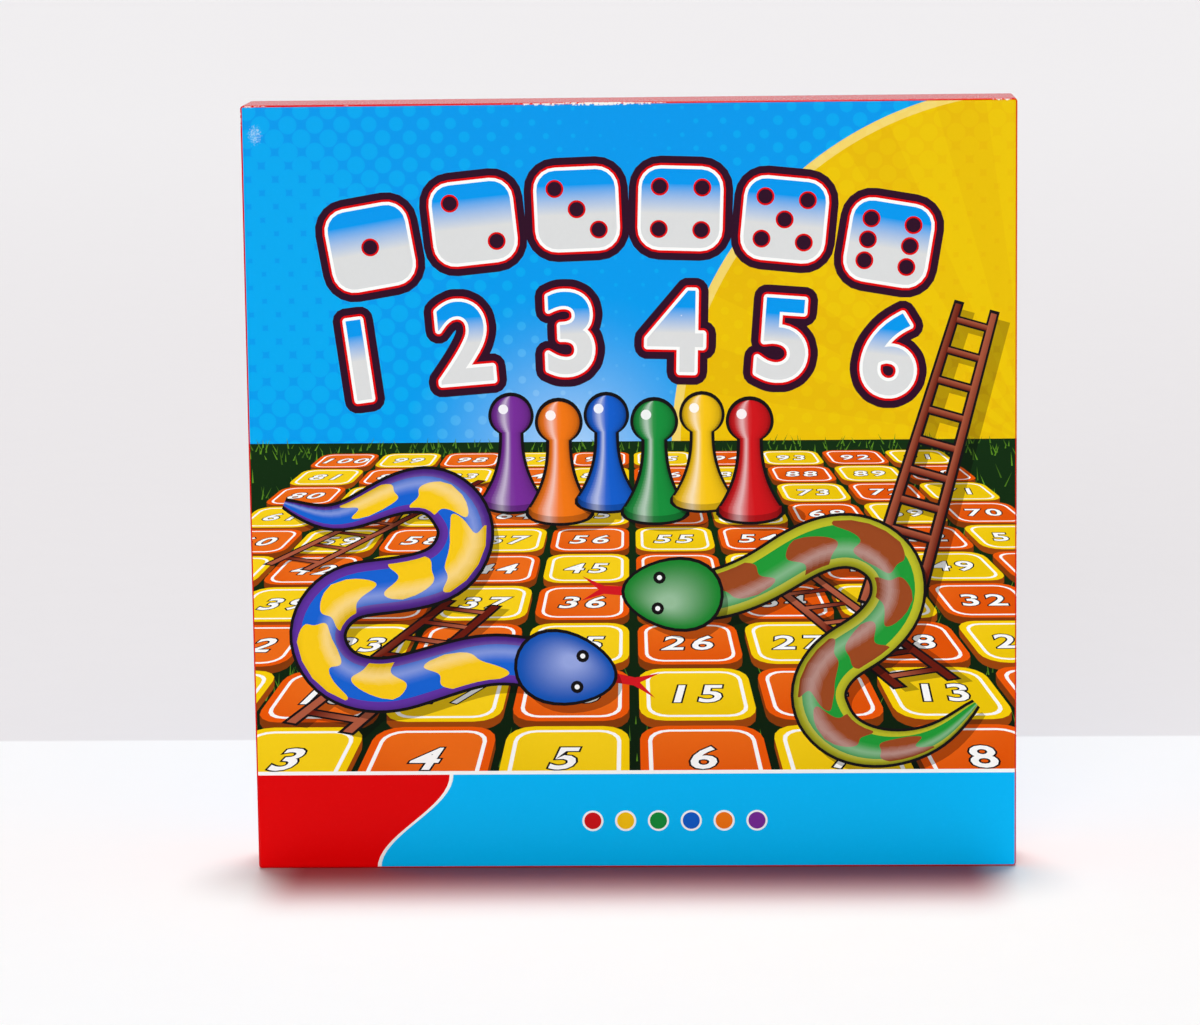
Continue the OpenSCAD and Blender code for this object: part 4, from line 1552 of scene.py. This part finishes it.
# The camera, worked out from the photographed box's corners
FOCAL_PIXELS = 4401.2
FRAME_PIXELS = 1200
CAMERA_TURNS = (("Z", 0.38), ("Y", -2.26), ("X", 8.87))     # roll, pan and tilt, in degrees
CAMERA_OFFSET = (0.0414, 0.0295, 5.7303)    # in widths of the box, from the middle of its face


class GAME_OT_stage(bpy.types.Operator):
    """Make the camera, the lights and the pale floor"""
    bl_idname = "game.stage"
    bl_label = "Stage"

    def execute(self, context):
        settings = context.scene.game_stage
        self.add_camera(context)
        self.add_floor(context, settings)
        self.add_light(context, "key_light", settings.key_strength, around=176, height=83, spread=11)
        self.add_light(context, "fill_light", settings.fill_strength, around=-6, height=9, spread=32)
        self.add_world(context, settings)
        context.scene.view_settings.view_transform = "Standard"
        return {"FINISHED"}

    def add_world(self, context, settings):
        """Even light from all round, stronger near the horizon."""
        world = bpy.data.worlds.new("studio")
        world.use_nodes = True
        wire = Wiring(world.node_tree)
        shade = world.node_tree.nodes["Background"]
        shade.inputs["Color"].default_value = (*settings.wall_colour, 1)
        towards = wire.node("ShaderNodeTexCoord").outputs["Generated"]
        level = wire.maths("MAXIMUM", wire.split(towards)[2], 0.0)
        glow = wire.maths("POWER", wire.maths("SUBTRACT", 1.0, level), 3.0)
        strength = wire.maths("MULTIPLY_ADD", glow, settings.horizon_glow, settings.surround)
        wire.join(strength, shade.inputs["Strength"])
        context.scene.world = world

    def add_camera(self, context):
        """The camera from which the photographed box's corners fall where they do."""
        roll, pan, tilt = (Matrix.Rotation(math.radians(angle), 3, axis) for axis, angle in CAMERA_TURNS)
        turn = roll @ pan @ tilt
        offset = Vector((CAMERA_OFFSET[0], CAMERA_OFFSET[1], -CAMERA_OFFSET[2])) * LID_W * MM
        eye = -(turn.transposed() @ offset)
        # The face's own axes are across, up and out of the box, which faces -Y
        stand = Matrix(((1, 0, 0), (0, 0, -1), (0, 1, 0)))
        camera = bpy.data.cameras.new("camera")
        camera.sensor_width = 36
        camera.lens = camera.sensor_width * FOCAL_PIXELS / FRAME_PIXELS
        holder = bpy.data.objects.new("camera", camera)
        rotation = (stand @ turn.transposed()).to_4x4()
        middle = Vector((0, LID_LOW.y * MM, MIDDLE_Z * MM))
        holder.matrix_world = Matrix.Translation(middle + stand @ eye) @ rotation
        context.scene.collection.objects.link(holder)
        context.scene.camera = holder

    def add_floor(self, context, settings):
        """A wide floor, greyer behind the box, with a painted shade and a painted red reflection in front
        of it.
        """
        mesh = bpy.data.meshes.new("floor")
        reach = 60.0            # half its width, in metres
        corners = [(x, y, 0) for x, y in rectangle(-reach, -reach, reach, reach)]
        mesh.from_pydata(corners, [], [(0, 1, 2, 3)])
        floor = bpy.data.objects.new("floor", mesh)
        context.scene.collection.objects.link(floor)
        material, wire, shader = new_material("floor_paint", Roughness=1.0, Specular_IOR_Level=0.0)
        grain = placed(wire, "surface_grain", Scale=60.0, Contrast=0.02)
        place = wire.place()
        deep = wire.split(place)[1]
        seam, soft = settings.seam, 2 * MM
        lighter = mixed(settings.back_colour, (1, 1, 1), 0.3)
        behind = wire.blend(wire.ramp(deep, seam, seam + 4.0), tuple(settings.back_colour), lighter)
        tone = wire.blend(wire.ramp(deep, seam - soft, seam + soft), tuple(settings.floor_colour), behind)
        # The painted shade and painted red reflection: dark and warm at the box's foot, between soft ends,
        # and gone 80 mm in front of it
        across, forward, _ = wire.split(wire.vector("ABSOLUTE", place))
        half = LID_W / 2 * MM
        ends = wire.ramp(across, half - 18 * MM, half + 2 * MM, 1.0, 0.0)
        front = wire.ramp(deep, -MM, MM, 1.0, 0.0)
        near = wire.ramp(wire.maths("SUBTRACT", forward, CAD_BOX[1][1]), 0.0, 80 * MM, 1.0, 0.0)
        close = wire.maths("MULTIPLY", near, wire.maths("MULTIPLY", ends, front))
        shaded = wire.blend(close, (1, 1, 1), linear(200, 108, 114))
        for shade in (grain.outputs["Mottle"], shaded):
            tone = wire.blend(1.0, tone, shade, mode="MULTIPLY")
        wire.join(tone, shader.inputs["Base Color"])
        mesh.materials.append(material)

    def add_light(self, context, name, strength, around, height, spread):
        """An even light from an angle around the box, 0 at its front, and an angle over the floor."""
        light = bpy.data.lights.new(name, "SUN")
        light.angle, light.energy = math.radians(spread), strength
        holder = bpy.data.objects.new(name, light)
        holder.rotation_euler = (math.radians(90 - height), 0, math.radians(around))
        context.scene.collection.objects.link(holder)


class GAME_PT_panel(bpy.types.Panel):
    """Lists the set's operators in the sidebar"""
    bl_idname = "GAME_PT_panel"
    bl_label = "Board Game"
    bl_space_type = "VIEW_3D"
    bl_region_type = "UI"
    bl_category = "Board Game"

    def draw(self, context):
        for operator in OPERATORS:
            self.layout.operator(operator.bl_idname)


OPERATORS = (GAME_OT_stage, GAME_OT_greyboards, GAME_OT_corner_stays, GAME_OT_board_backing,
             GAME_OT_leaflet, GAME_OT_die, GAME_OT_pawns, GAME_OT_lid_wrap, GAME_OT_tray_wrap,
             GAME_OT_board_print, GAME_OT_insert_sheet)
CLASSES = (BoxInks, BoxSizes, StageSettings, *OPERATORS, GAME_PT_panel)


def register():
    for item in CLASSES:
        bpy.utils.register_class(item)
    bpy.types.Scene.game_inks = PointerProperty(type=BoxInks)
    bpy.types.Scene.game_sizes = PointerProperty(type=BoxSizes)
    bpy.types.Scene.game_stage = PointerProperty(type=StageSettings)


def unregister():
    del bpy.types.Scene.game_stage
    del bpy.types.Scene.game_sizes
    del bpy.types.Scene.game_inks
    for item in reversed(CLASSES):
        bpy.utils.unregister_class(item)


def main():
    """Makes the whole set and its stage."""
    register()
    bpy.ops.game.stage()
    bpy.ops.game.greyboards()
    bpy.ops.game.corner_stays()
    bpy.ops.game.board_backing()
    bpy.ops.game.leaflet()
    bpy.ops.game.die()
    bpy.ops.game.pawns()
    bpy.ops.game.lid_wrap()
    bpy.ops.game.tray_wrap()
    bpy.ops.game.board_print()
    bpy.ops.game.insert_sheet()


if __name__ == "__main__":
    main()
